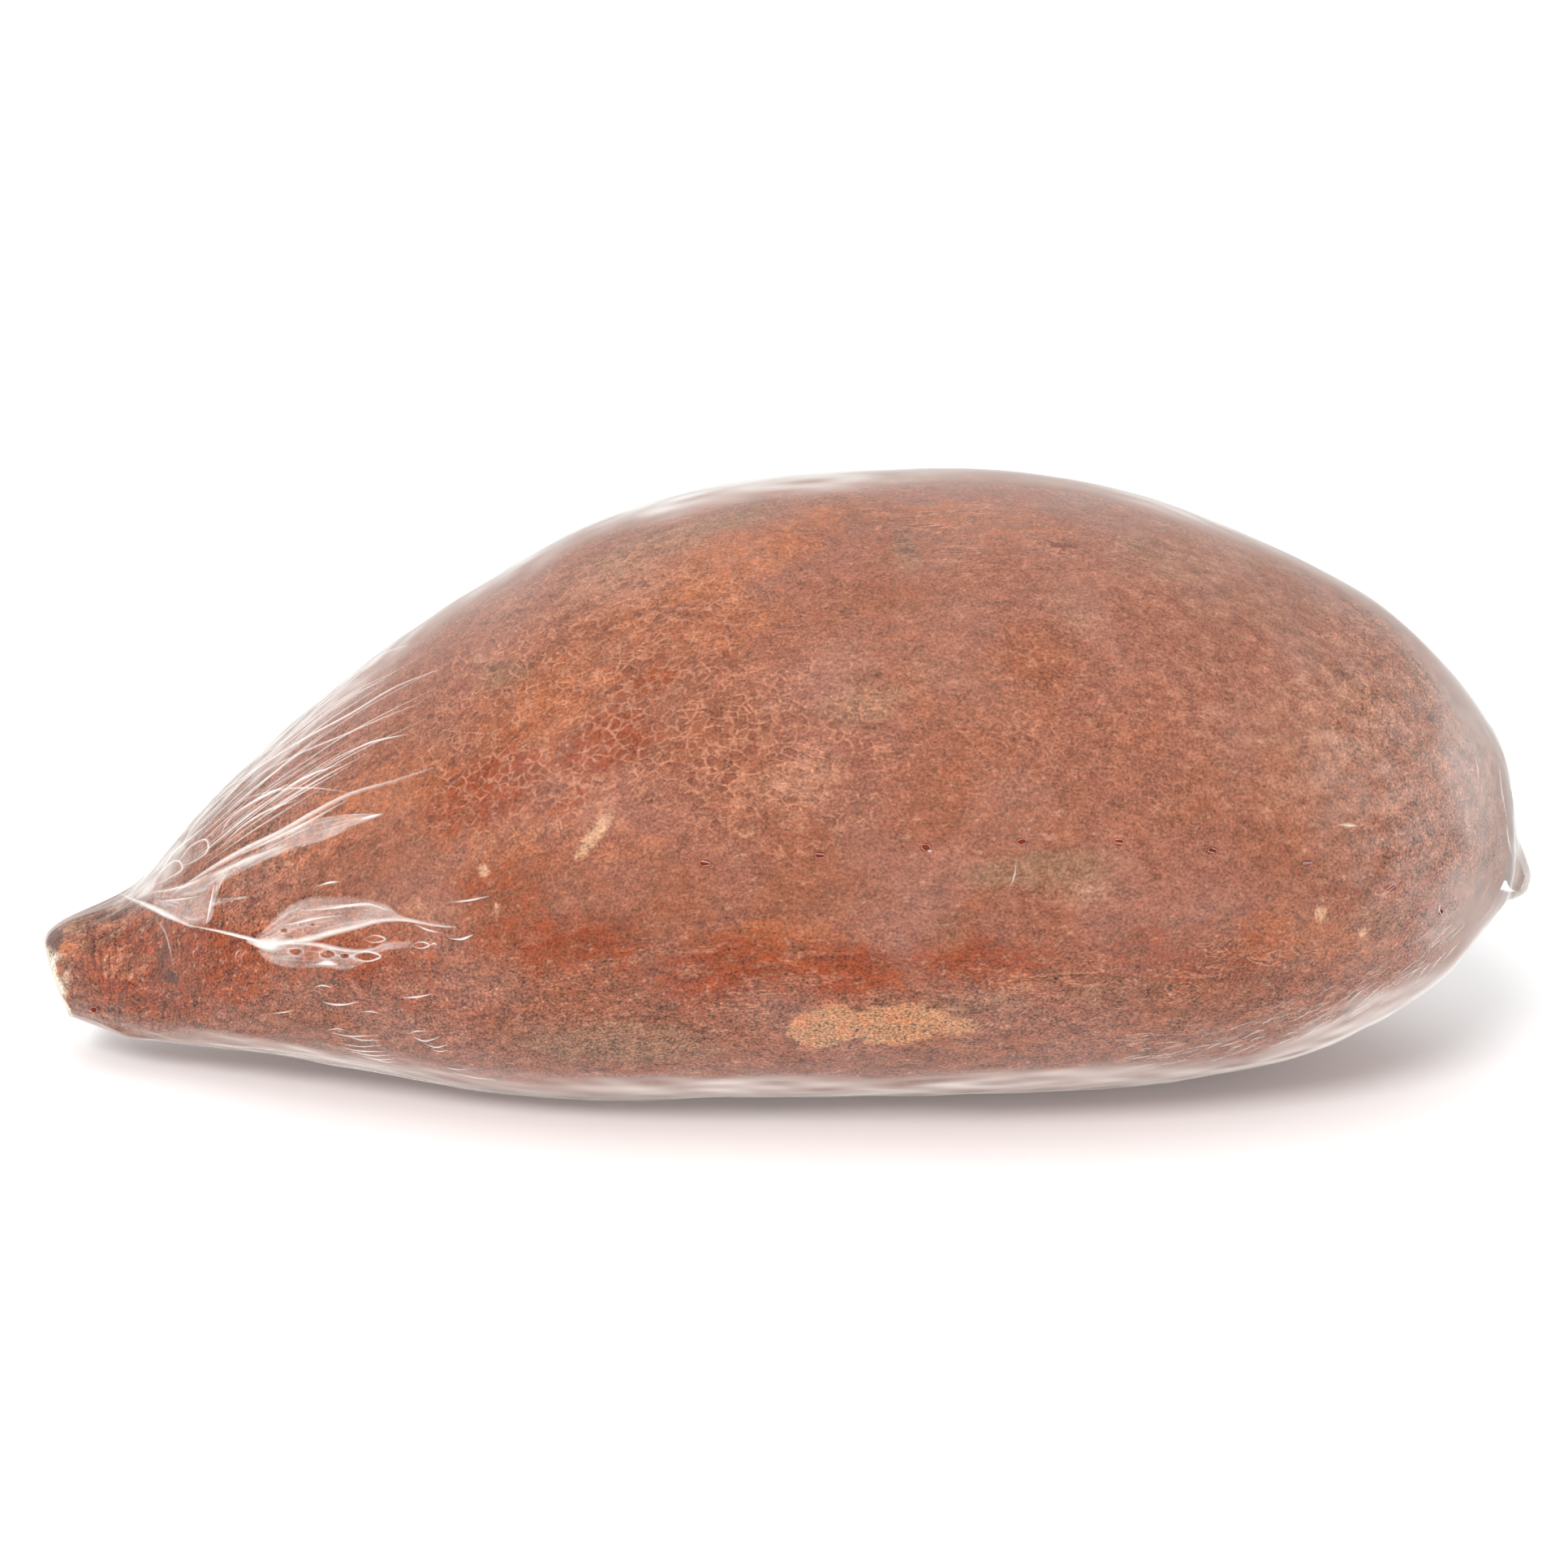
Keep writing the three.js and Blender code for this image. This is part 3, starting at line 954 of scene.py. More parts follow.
PLEATS: tuple[Pleat, ...] = (
    Pleat(
        ((214, 1103), (260, 1071), (300, 1048), (349, 1024), (381, 1005), (434, 978), (488, 962),
         (536, 946)),
        6, 0.68, 0.28, 0.3,
    ),
    Pleat(((300, 1052), (349, 1029), (384, 1011), (430, 985)), 4, 0.7, 0.18, 0.4),
    Pleat(((262, 1080), (310, 1058), (356, 1040)), 5, 0.6, 0.18, 0.4),
    Pleat(((442, 1011), (458, 1006), (473, 1003)), 2.6, 0.9, 0.12),
    Pleat(((274, 1043), (300, 1018), (335, 997), (367, 986)), 2.6, 0.8, 0.16),
    Pleat(((274, 1027), (284, 1010), (314, 988), (356, 967)), 3.4, 0.95, 0.2, 0.7),
    Pleat(((335, 987), (359, 968), (386, 954), (421, 942)), 2.6, 0.85, 0.16),
    Pleat(((292, 989), (327, 977), (381, 971), (434, 977)), 2.2, 0.5, 0.12),
    Pleat(
        ((238, 1024), (252, 997), (308, 954), (370, 914), (434, 879), (488, 847), (541, 826)),
        2.8, 0.8, 0.16, 0.6,
    ),
    Pleat(((286, 984), (308, 964), (370, 929), (424, 906), (461, 890), (520, 866)), 2.4, 0.6, 0.14),
    Pleat(((282, 968), (314, 938), (354, 911), (407, 871), (448, 847), (488, 828)), 2.6, 0.6, 0.14),
    Pleat(((407, 938), (461, 914), (503, 905)), 2.4, 0.75, 0.12, 0.6),
    Pleat(((372, 902), (407, 874), (448, 850), (476, 838)), 2.2, 0.5, 0.12),
    Pleat(((388, 872), (430, 838), (474, 806), (506, 795)), 4.5, 0.6, 0.2, 0.6),
    Pleat(((330, 930), (372, 892), (420, 852), (452, 824)), 4.0, 0.55, 0.2),
    Pleat(((232, 1016), (262, 976), (300, 940), (340, 905)), 4.0, 0.55, 0.2),
    Pleat(((222, 1050), (240, 1018), (272, 985), (304, 960)), 3.0, 0.7, 0.18),
    Pleat(((196, 1082), (214, 1052), (240, 1030), (262, 1012)), 3.2, 0.8, 0.18),
    Pleat(((160, 1104), (182, 1080), (205, 1052), (230, 1022)), 6.0, 0.6, 0.25, 0.4),
    Pleat(((391, 1092), (404, 1088), (419, 1086)), 2.2, 0.85, 0.1, 0.6),
    Pleat(((552, 1112), (580, 1109), (603, 1104)), 2.0, 0.75, 0.1, 0.6),
    Pleat(((553, 1156), (569, 1157), (584, 1151)), 2.2, 0.9, 0.1, 0.6),
    Pleat(((512, 1139), (528, 1146), (544, 1149)), 2.0, 0.7),
    Pleat(((388, 1216), (395, 1214), (412, 1217)), 1.8, 0.8, 0.1, 0.4),
    Pleat(((399, 1234), (410, 1237), (428, 1237), (443, 1233)), 2.4, 0.9, 0.12, 0.4),
    Pleat(((495, 1229), (515, 1228), (533, 1224)), 2.2, 0.85),
    Pleat(((445, 1246), (456, 1246), (469, 1248)), 1.6, 0.7),
    Pleat(((337, 1248), (350, 1247), (363, 1244)), 1.6, 0.7),
    Pleat(((404, 1269), (416, 1267), (427, 1269)), 1.6, 0.7),
    Pleat(((409, 1272), (430, 1276), (466, 1275)), 1.8, 0.8, 0.1, 0.4),
    Pleat(((429, 1275), (441, 1280), (467, 1281)), 1.8, 0.85),
    Pleat(((420, 1285), (445, 1289), (471, 1287)), 1.6, 0.7),
    Pleat(((422, 1290), (441, 1294), (475, 1295)), 2.0, 0.9),
    Pleat(((431, 1294), (459, 1300), (482, 1299)), 2.0, 0.9),
    Pleat(((445, 1300), (466, 1305), (487, 1304)), 1.8, 0.85),
    Pleat(((461, 1304), (476, 1308), (489, 1307)), 1.6, 0.7),
    Pleat(((503, 1273), (514, 1270), (527, 1270)), 1.6, 0.75),
    Pleat(((510, 1277), (521, 1282), (543, 1277)), 2.0, 0.9, 0.1, 0.4),
    Pleat(((523, 1285), (537, 1290), (553, 1286)), 1.8, 0.85),
    Pleat(((533, 1293), (542, 1295), (552, 1293)), 1.5, 0.7),
    Pleat(((549, 1314), (562, 1317), (580, 1316)), 1.6, 0.6),
    Pleat(((558, 1321), (585, 1327), (611, 1330)), 2.0, 0.8),
    Pleat(((290, 1183), (292, 1174), (299, 1168)), 1.4, 0.5, 0.08),
    Pleat(((297, 1186), (299, 1176), (304, 1171)), 1.2, 0.4, 0.08),
    Pleat(((193, 1133), (203, 1147), (210, 1170), (214, 1190)), 2.6, 0.3, 0.1, 0.4),
    Pleat(((1648, 1016), (1660, 1017), (1674, 1018)), 2.2, 0.5),
    Pleat(((1817, 933), (1820, 947), (1821, 962)), 1.8, 0.5),
    Pleat(((1774, 1113), (1773, 1122), (1778, 1130)), 2.0, 0.7, 0.1, 0.4),
    Pleat(((1246, 1090), (1250, 1078), (1252, 1060)), 1.8, 0.5, 0.1, 0.3),
    Pleat(((1856, 1014), (1858, 1036), (1864, 1058)), 3.0, 0.6, 0.1, 0.4),
    Pleat(((1846, 940), (1850, 975), (1856, 1010)), 2.4, 0.5),
    Pleat(((1842, 1126), (1858, 1119), (1873, 1104)), 3.0, 0.6),
)


@dataclass(frozen=True)
class Web:
    """A thin double layer of shrivelled film between two edges drawn through photograph pixels.

    Attributes:
        first: Pixels along the first edge.
        second: Pixels along the second edge.
        edge_veil: How white its edges are.
        middle_veil: How white it is between them.
        lift: How far it stands off the film, in millimetres.
        holes: Ovals melted through it: middle x, middle y, half width and half height in pixels.
        thread: Spacing of its threads, where its full width is 40.
    """

    first: tuple[Pixel, ...]
    second: tuple[Pixel, ...]
    edge_veil: float = 0.5
    middle_veil: float = 0.3
    lift: float = 0.15
    holes: tuple[tuple[float, float, float, float], ...] = ()
    thread: float = 5.0


WEBS: tuple[Web, ...] = (
    Web(  # upper lobe of the shrivelled flap
        ((316, 1152), (326, 1144), (340, 1130), (356, 1116), (379, 1106), (409, 1104), (441, 1105),
         (464, 1110), (480, 1116), (491, 1126), (510, 1132), (533, 1138), (562, 1142)),
        ((316, 1164), (330, 1166), (350, 1164), (379, 1158), (409, 1149), (430, 1143), (450, 1139),
         (470, 1135), (485, 1134), (496, 1135), (512, 1137), (533, 1141), (562, 1143)),
        0.26, 0.24, 0.22,
        ((352, 1146, 5, 3), (388, 1139, 5, 2)),
    ),
    Web(  # lower lobe
        ((318, 1166), (340, 1166), (365, 1162), (386, 1163), (410, 1167), (434, 1171), (460, 1169),
         (476, 1163), (496, 1160), (512, 1158)),
        ((316, 1170), (326, 1181), (346, 1190), (372, 1193), (400, 1192), (427, 1195), (450, 1186),
         (470, 1173), (496, 1168), (512, 1168)),
        0.26, 0.18, 0.22,
        ((405, 1175, 9, 5), (426, 1177, 6, 3.2), (366, 1172, 8, 4), (453, 1178, 15, 5)),
    ),
    Web(  # fold above the neck, like a fan
        ((187, 1098), (205, 1094), (235, 1086), (262, 1074), (304, 1052)),
        ((189, 1118), (214, 1130), (242, 1142), (256, 1138), (266, 1092)),
        0.40, 0.22, 0.2,
    ),
    Web(  # wide ribbon from the fan up to the right
        ((266, 1076), (300, 1058), (349, 1030), (381, 1012), (434, 1003), (472, 1002)),
        ((266, 1092), (308, 1070), (354, 1050), (407, 1033), (442, 1016), (474, 1005)),
        0.36, 0.24, 0.2,
    ),
    Web(  # slim wisp beside the fan
        ((264, 1106), (280, 1106), (306, 1104)),
        ((260, 1118), (280, 1112), (306, 1106)),
        0.3, 0.25, 0.12,
    ),
    Web(  # where the film leaves the neck
        ((150, 1104), (166, 1088), (190, 1062), (215, 1030)),
        ((160, 1112), (186, 1100), (200, 1078), (232, 1042)),
        0.40, 0.30, 0.15,
    ),
)

STRANDS: tuple[Pleat, ...] = (
    Pleat(((148, 1103), (169, 1111), (187, 1118), (214, 1131), (242, 1143)), 6, 0.9, 0.45, 0.55),
    Pleat(((230, 1139), (260, 1145), (283, 1150), (311, 1157), (324, 1160)), 3.6, 0.95, 0.35, 0.8),
    Pleat(((308, 1159), (320, 1162), (334, 1164), (348, 1161), (366, 1159)), 13, 0.85, 0.5, 0.42),
    Pleat(
        ((340, 1163), (379, 1157), (409, 1149), (441, 1141), (470, 1134), (496, 1133), (530, 1138),
         (564, 1142)),
        6, 0.72, 0.35, 0.2,
    ),
    Pleat(
        ((352, 1162), (386, 1163), (410, 1167), (434, 1171), (460, 1169), (476, 1162), (496, 1159)),
        4.5, 0.62, 0.3, 0.3,
    ),
    Pleat(((372, 1122), (400, 1120), (430, 1116), (456, 1114), (480, 1122)), 3, 0.7, 0.25, 0.6),
    Pleat(((340, 1142), (370, 1136), (400, 1130), (424, 1128)), 2.4, 0.6, 0.22),
    Pleat(((266, 1091), (262, 1110), (256, 1139)), 2.6, 0.85, 0.3),
    Pleat(((189, 1100), (215, 1096), (240, 1088), (262, 1076)), 3.0, 0.7, 0.25),
    Pleat(((192, 1112), (225, 1108), (250, 1104)), 2.2, 0.6, 0.2),
    Pleat(((435, 1176), (453, 1172), (470, 1178), (453, 1184), (435, 1178)), 2.0, 0.8, 0.2),
    Pleat(((508, 1164), (520, 1160), (530, 1164), (520, 1168), (508, 1165)), 1.8, 0.75, 0.2),
    Pleat(((530, 1164), (536, 1162), (540, 1164)), 1.8, 0.75, 0.2),
    Pleat(((449, 1157), (463, 1152), (476, 1157), (463, 1161), (450, 1158)), 2.0, 0.6, 0.2),
    Pleat(((187, 1092), (200, 1074), (222, 1062), (226, 1068), (206, 1084), (190, 1092)), 2.2, 0.75, 0.2),
    Pleat(((222, 1062), (238, 1042), (256, 1036), (258, 1044), (240, 1062), (224, 1068)), 2.2, 0.75, 0.2),
    Pleat(((392, 1187), (404, 1186), (418, 1188)), 5, 0.9, 0.3),
)


class SurfaceArtist:
    """Drapes creases and webs of film on the wrapped film."""

    feather = 1.7  # a crease's soft edges make it this much wider than it looks
    web_columns, web_rows = 90, 26

    def __init__(self, tree: BVHTree) -> None:
        """Remembers the film's surface, in metres."""
        self.tree = tree

    def drop(self, pixel: Pixel) -> tuple[Vector, Vector] | None:
        """The film under a photograph pixel, in metres, or None beside the film."""
        origin, way = VIEW.ray(pixel)
        place, normal, _, _ = self.tree.ray_cast(origin * MM, way)
        return None if place is None else (place, normal)

    @staticmethod
    def through(path: Sequence[Pixel], count: int) -> list[Pixel]:
        """Smooth curve of count pixels through the path's pixels."""
        knots = np.array(path, float)
        at = lengths_along(knots)
        slope = np.gradient(knots, at, axis=0)
        return [tuple(p) for p in curve_at(knots, slope, at, np.linspace(0, at[-1], count))]

    def ribbon(
        self,
        net: bmesh.types.BMesh,
        places: Sequence[tuple[Vector, Vector]],
        widths: Sequence[float],
        veils: Sequence[float],
        height: float,
    ) -> None:
        """Adds one feathered ridge along places on the film.

        Args:
            net: The mesh that takes the ridge.
            places: Points and normals along it, in metres.
            widths: Its full width at each place, in millimetres.
            veils: How white its crest is at each place.
            height: How high the crest stands, in millimetres.
        """
        lanes = 6
        made = bmesh.ops.create_grid(net, x_segments=len(places) - 1, y_segments=lanes, size=1.0)
        layer = net.verts.layers.float["veil"]
        verts = made["verts"]
        wide = len(places)
        for number, vert in enumerate(verts):
            lane, step = divmod(number, wide)
            place, normal = places[step]
            ahead = places[min(step + 1, wide - 1)][0] - places[max(step - 1, 0)][0]
            across = normal.cross(ahead).normalized()
            share = 2 * lane / lanes - 1
            spot = place + across * (share * widths[step] * 0.5 * MM)
            found = self.tree.find_nearest(spot)
            crest = (1 - share * share) ** 1.5
            vert.co = found[0] + found[1] * ((0.02 + height * crest) * MM)
            vert[layer] = veils[step] * crest

    def pleat(self, net: bmesh.types.BMesh, pleat: Pleat) -> None:
        """Adds one crease where the photograph shows it."""
        length = sum(math.dist(a, b) for a, b in zip(pleat.path, pleat.path[1:]))
        count = max(8, int(length / 3.5))
        found = [self.drop(p) for p in self.through(pleat.path, count)]
        places = [f for f in found if f is not None]
        if len(places) < 4:
            return
        along = np.linspace(0, 1, len(places))
        taper = np.where(
            along < pleat.swell,
            ease(-0.08, pleat.swell, along),
            ease(1.08, pleat.swell, along),
        )
        widths = pleat.width * self.feather / PIXELS_PER_MM * (0.35 + 0.65 * taper)
        veils = pleat.veil * (0.15 + 0.85 * taper**0.6)
        self.ribbon(net, places, widths, veils, pleat.height)

    def web(self, net: bmesh.types.BMesh, web: Web) -> None:
        """Adds one web of film, with lengthwise threads and its melted holes."""
        columns, rows = self.web_columns, self.web_rows
        first = np.array(self.through(web.first, columns + 1))
        second = np.array(self.through(web.second, columns + 1))
        made = bmesh.ops.create_grid(net, x_segments=columns, y_segments=rows, size=1.0)
        layer = net.verts.layers.float["veil"]
        threads = Grain(31, web.thread, (9, 1, 1))
        clouds = Grain(32, 30.0, (1.5, 1, 1))
        gone = []
        for number, vert in enumerate(made["verts"]):
            row, column = divmod(number, columns + 1)
            share = row / rows
            pixel = first[column] * (1 - share) + second[column] * share
            found = self.drop((pixel[0], pixel[1]))
            if found is None:
                gone.append(vert)
                continue
            thread = threads.at(np.array([[100 * column / columns, 40 * share, 0.0]]))[0]
            cloud = clouds.at(np.array([[pixel[0], pixel[1], 0.0]]))[0]
            border = (2 * share - 1) ** 2
            veil = web.middle_veil + (web.edge_veil - web.middle_veil) * border**3
            veil *= 0.78 + 0.22 * cloud + 0.75 * float(ease(0.5, 1.9, np.array(thread)))
            for x, y, wide, high in web.holes:
                away = math.hypot((pixel[0] - x) / wide, (pixel[1] - y) / high)
                veil *= float(ease(0.8, 1.15, np.array(away)))
                veil += 0.25 * math.exp(-(((away - 1.15) / 0.18) ** 2))
            feather = float(ease(0, 0.1, np.array(min(share, 1 - share))))
            ends = float(ease(0, 0.05, np.array(min(column, columns - column) / columns)))
            vert.co = found[0] + found[1] * (web.lift * MM * (0.4 + 0.6 * feather))
            vert[layer] = veil * (0.25 + 0.75 * feather) * ends
        bmesh.ops.delete(net, geom=gone, context="VERTS")


@dataclass
class FilmFolds:
    """Everything that is folded, gathered or creased on the film.

    Attributes:
        fine_pleats: Hair-thin creases that fan out between the large ones.
        belly_streaks: Slanting streaks along the lower edge under the tail end.
        hidden_pleats: Pleats round the neck on the sides that the photograph doesn't show.
    """

    artist: SurfaceArtist
    fine_pleats: int = 34
    belly_streaks: int = 170
    hidden_pleats: int = 46

    @staticmethod
    def new_net() -> bmesh.types.BMesh:
        """An empty mesh with a veil for each vertex."""
        net = bmesh.new()
        net.verts.layers.float.new("veil")
        return net

    def build(self, material: bpy.types.Material) -> list[bpy.types.Object]:
        """Makes the pleats, and the gathered seam with its flap.

        Args:
            material: The folded film's material.

        Returns:
            The two finished pieces.
        """
        pleats = self.new_net()
        for pleat in (*PLEATS, *self.fan(), *self.streaks()):
            self.artist.pleat(pleats, pleat)
        self.add_hidden_pleats(pleats)
        gather = self.new_net()
        for web in WEBS:
            self.artist.web(gather, web)
        for strand in STRANDS:
            self.artist.pleat(gather, strand)
        return [
            piece_from(pleats, "film_pleats", material),
            piece_from(gather, "film_gather", material),
        ]

    def fan(self) -> Iterable[Pleat]:
        """Fine creases between the silhouette and the main ribbon, seeded."""
        draw = np.random.default_rng(41)
        low = SurfaceArtist.through(((226, 1090), (330, 1025), (430, 975), (540, 930)), 50)
        high = SurfaceArtist.through(((196, 1066), (300, 955), (420, 850), (545, 770)), 50)
        for _ in range(self.fine_pleats):
            share = draw.uniform(0.05, 0.97) ** 0.7
            start = int(draw.uniform(0, 24))
            end = min(49, start + int(draw.uniform(10, 30)))
            drift = draw.normal(0, 0.03)
            path = tuple(
                (
                    low[i][0] * (1 - s) + high[i][0] * s,
                    low[i][1] * (1 - s) + high[i][1] * s,
                )
                for i, s in (
                    (start, share), ((start + end) // 2, share + drift / 2), (end, share + drift)
                )
            )
            width, veil = draw.uniform(1.2, 2.6), draw.uniform(0.25, 0.65)
            yield Pleat(path, width, veil, swell=draw.uniform(0.3, 0.7))

    def streaks(self) -> Iterable[Pleat]:
        """Slanting streaks under the tail end, seeded."""
        draw = np.random.default_rng(43)
        lower_edge = ((1400, 1322), (1540, 1298), (1640, 1266), (1740, 1218), (1806, 1160))
        edge = SurfaceArtist.through(lower_edge, 60)
        for _ in range(self.belly_streaks):
            spot = edge[int(draw.uniform(0, 59))]
            up = draw.uniform(2, 46)
            x, y = spot[0] - 0.35 * up, spot[1] - up
            right = (spot[0] - 1400) / 400
            slope = math.radians(8 + 38 * right + draw.normal(0, 5))
            half = draw.uniform(6, 20)
            dx, dy = half * math.cos(slope), half * math.sin(slope)
            path = ((x - dx, y + dy), (x, y - draw.uniform(0, 1.5)), (x + dx, y - dy))
            width, veil = draw.uniform(1.0, 2.2), draw.uniform(0.2, 0.6)
            yield Pleat(path, width, veil * (1 - up / 80), 0.08)

    def add_hidden_pleats(self, net: bmesh.types.BMesh) -> None:
        """Pleats round the back and underside of the neck, seeded."""
        draw = np.random.default_rng(47)
        for _ in range(self.hidden_pleats):
            angle = draw.uniform(-2.2, 1.3)
            start = draw.uniform(0.10, 0.20)
            end = start + draw.uniform(0.08, 0.2)
            along = np.linspace(start, end, 26)
            turn = angle + draw.normal(0, 0.12) * np.linspace(0, 1, 26)
            points = (FILM_FORM.points(along, turn) + SHIFT) * MM
            places = [self.artist.tree.find_nearest(Vector(p))[:2] for p in points]
            taper = np.sin(np.linspace(0, math.pi, 26)) ** 0.7
            strength = draw.uniform(0.3, 0.8)
            self.artist.ribbon(
                net, places, draw.uniform(0.3, 0.9) * (0.3 + 0.7 * taper), strength * taper, 0.16
            )


class Bench:
    """Lays out the shader nodes of one material, one short call for each."""

    def __init__(self, name: str, laid_out: str = "") -> None:
        """Starts an empty material.

        Args:
            name: The material's name.
            laid_out: Attribute that holds the pattern's coordinates, or nothing for Object coordinates.
        """
        self.material = bpy.data.materials.new(name)
        self.material.use_nodes = True
        self.tree = self.material.node_tree
        self.tree.nodes.clear()
        if laid_out:
            source = self.add("ShaderNodeAttribute", attribute_name=laid_out)
            self.coordinates = source.outputs["Vector"]
        else:
            self.coordinates = self.add("ShaderNodeTexCoord").outputs["Object"]

    def add(self, kind: str, **settings: object) -> bpy.types.Node:
        """Adds a node and sets its own properties."""
        node = self.tree.nodes.new(kind)
        for name, value in settings.items():
            setattr(node, name, value)
        return node

    def feed(self, node: bpy.types.Node, name: str | int, value: object) -> None:
        """Sets one input, from another node's output or from a plain value."""
        if isinstance(value, bpy.types.NodeSocket):
            self.tree.links.new(value, node.inputs[name])
        else:
            node.inputs[name].default_value = value

    def space(self, size: float, stretch: tuple[float, float, float]) -> bpy.types.NodeSocket:
        """The coordinates in units of size millimetres, longer along the stretched axes."""
        mapping = self.add("ShaderNodeMapping")
        self.feed(mapping, "Vector", self.coordinates)
        self.feed(mapping, "Scale", tuple(1 / (MM * size * s) for s in stretch))
        return mapping.outputs[0]

    def noise(
        self,
        size: float,
        detail: float = 2.0,
        stretch: tuple[float, float, float] = (1.0, 1.0, 1.0),
        rough: float = 0.55,
        warp: float = 0.0,
    ) -> bpy.types.NodeSocket:
        """Cloudy noise with features about size millimetres across."""
        node = self.add("ShaderNodeTexNoise")
        self.feed(node, "Vector", self.space(size, stretch))
        self.feed(node, "Scale", 1.0)
        self.feed(node, "Detail", detail)
        self.feed(node, "Roughness", rough)
        self.feed(node, "Distortion", warp)
        return node.outputs["Fac"]

    def bent_space(
        self, size: float, stretch: tuple[float, float, float], warp: float
    ) -> bpy.types.NodeSocket:
        """The coordinates in units of size millimetres, bent a little by noise."""
        vector = self.space(size, stretch)
        bend = self.add("ShaderNodeTexNoise")
        self.feed(bend, "Vector", vector)
        self.feed(bend, "Scale", 0.7)
        self.feed(bend, "Detail", 1.0)
        bent = self.add("ShaderNodeVectorMath", operation="MULTIPLY_ADD")
        self.feed(bent, 0, bend.outputs["Color"])
        self.feed(bent, 1, (warp, warp, warp))
        self.feed(bent, 2, vector)
        return bent.outputs[0]

    def moved(self, vector: bpy.types.NodeSocket, shift: tuple[float, float, float]) -> bpy.types.NodeSocket:
        """Coordinates moved a little to one side."""
        node = self.add("ShaderNodeVectorMath", operation="ADD")
        self.feed(node, 0, vector)
        self.feed(node, 1, shift)
        return node.outputs[0]

    def cells(self, vector: bpy.types.NodeSocket, feature: str) -> bpy.types.Node:
        """A cell pattern with cells one unit across."""
        node = self.add("ShaderNodeTexVoronoi", feature=feature)
        self.feed(node, "Vector", vector)
        self.feed(node, "Scale", 1.0)
        return node

    def mark(self, name: str) -> bpy.types.NodeSocket:
        """A number stored on the mesh."""
        return self.add("ShaderNodeAttribute", attribute_name=name).outputs["Fac"]

    def rise(self, value: object, low: float, high: float, top: float = 1.0) -> bpy.types.NodeSocket:
        """Smooth rise from 0 at low to top at high."""
        node = self.add("ShaderNodeMapRange", interpolation_type="SMOOTHSTEP")
        self.feed(node, "Value", value)
        self.feed(node, "From Min", low)
        self.feed(node, "From Max", high)
        self.feed(node, "To Min", 0.0)
        self.feed(node, "To Max", top)
        return node.outputs[0]

    def maths(self, operation: str, a: object, b: object = 0.0, clamp: bool = False) -> bpy.types.NodeSocket:
        """One sum on two numbers."""
        node = self.add("ShaderNodeMath", operation=operation, use_clamp=clamp)
        self.feed(node, 0, a)
        self.feed(node, 1, b)
        return node.outputs[0]

    def times(self, *values: object) -> bpy.types.NodeSocket:
        """The product of several numbers."""
        product = values[0]
        for value in values[1:]:
            product = self.maths("MULTIPLY", product, value)
        return product

    def over(self, share: object, under: object, upper: object) -> bpy.types.NodeSocket:
        """One colour laid over another."""
        node = self.add("ShaderNodeMix", data_type="RGBA", clamp_factor=True)
        self.feed(node, "Factor", share)
        self.feed(node, 6, under)
        self.feed(node, 7, upper)
        return node.outputs[2]

    def shade(self, colour: bpy.types.NodeSocket, tone: bpy.types.NodeSocket) -> bpy.types.NodeSocket:
        """A colour made lighter or darker by a tone about 1."""
        node = self.add("ShaderNodeVectorMath", operation="SCALE")
        self.feed(node, 0, colour)
        self.feed(node, "Scale", tone)
        return node.outputs[0]

    def finish(self, shader: bpy.types.NodeSocket) -> bpy.types.Material:
        """Ends the material with this shader."""
        output = self.add("ShaderNodeOutputMaterial")
        self.tree.links.new(shader, output.inputs["Surface"])
        return self.material


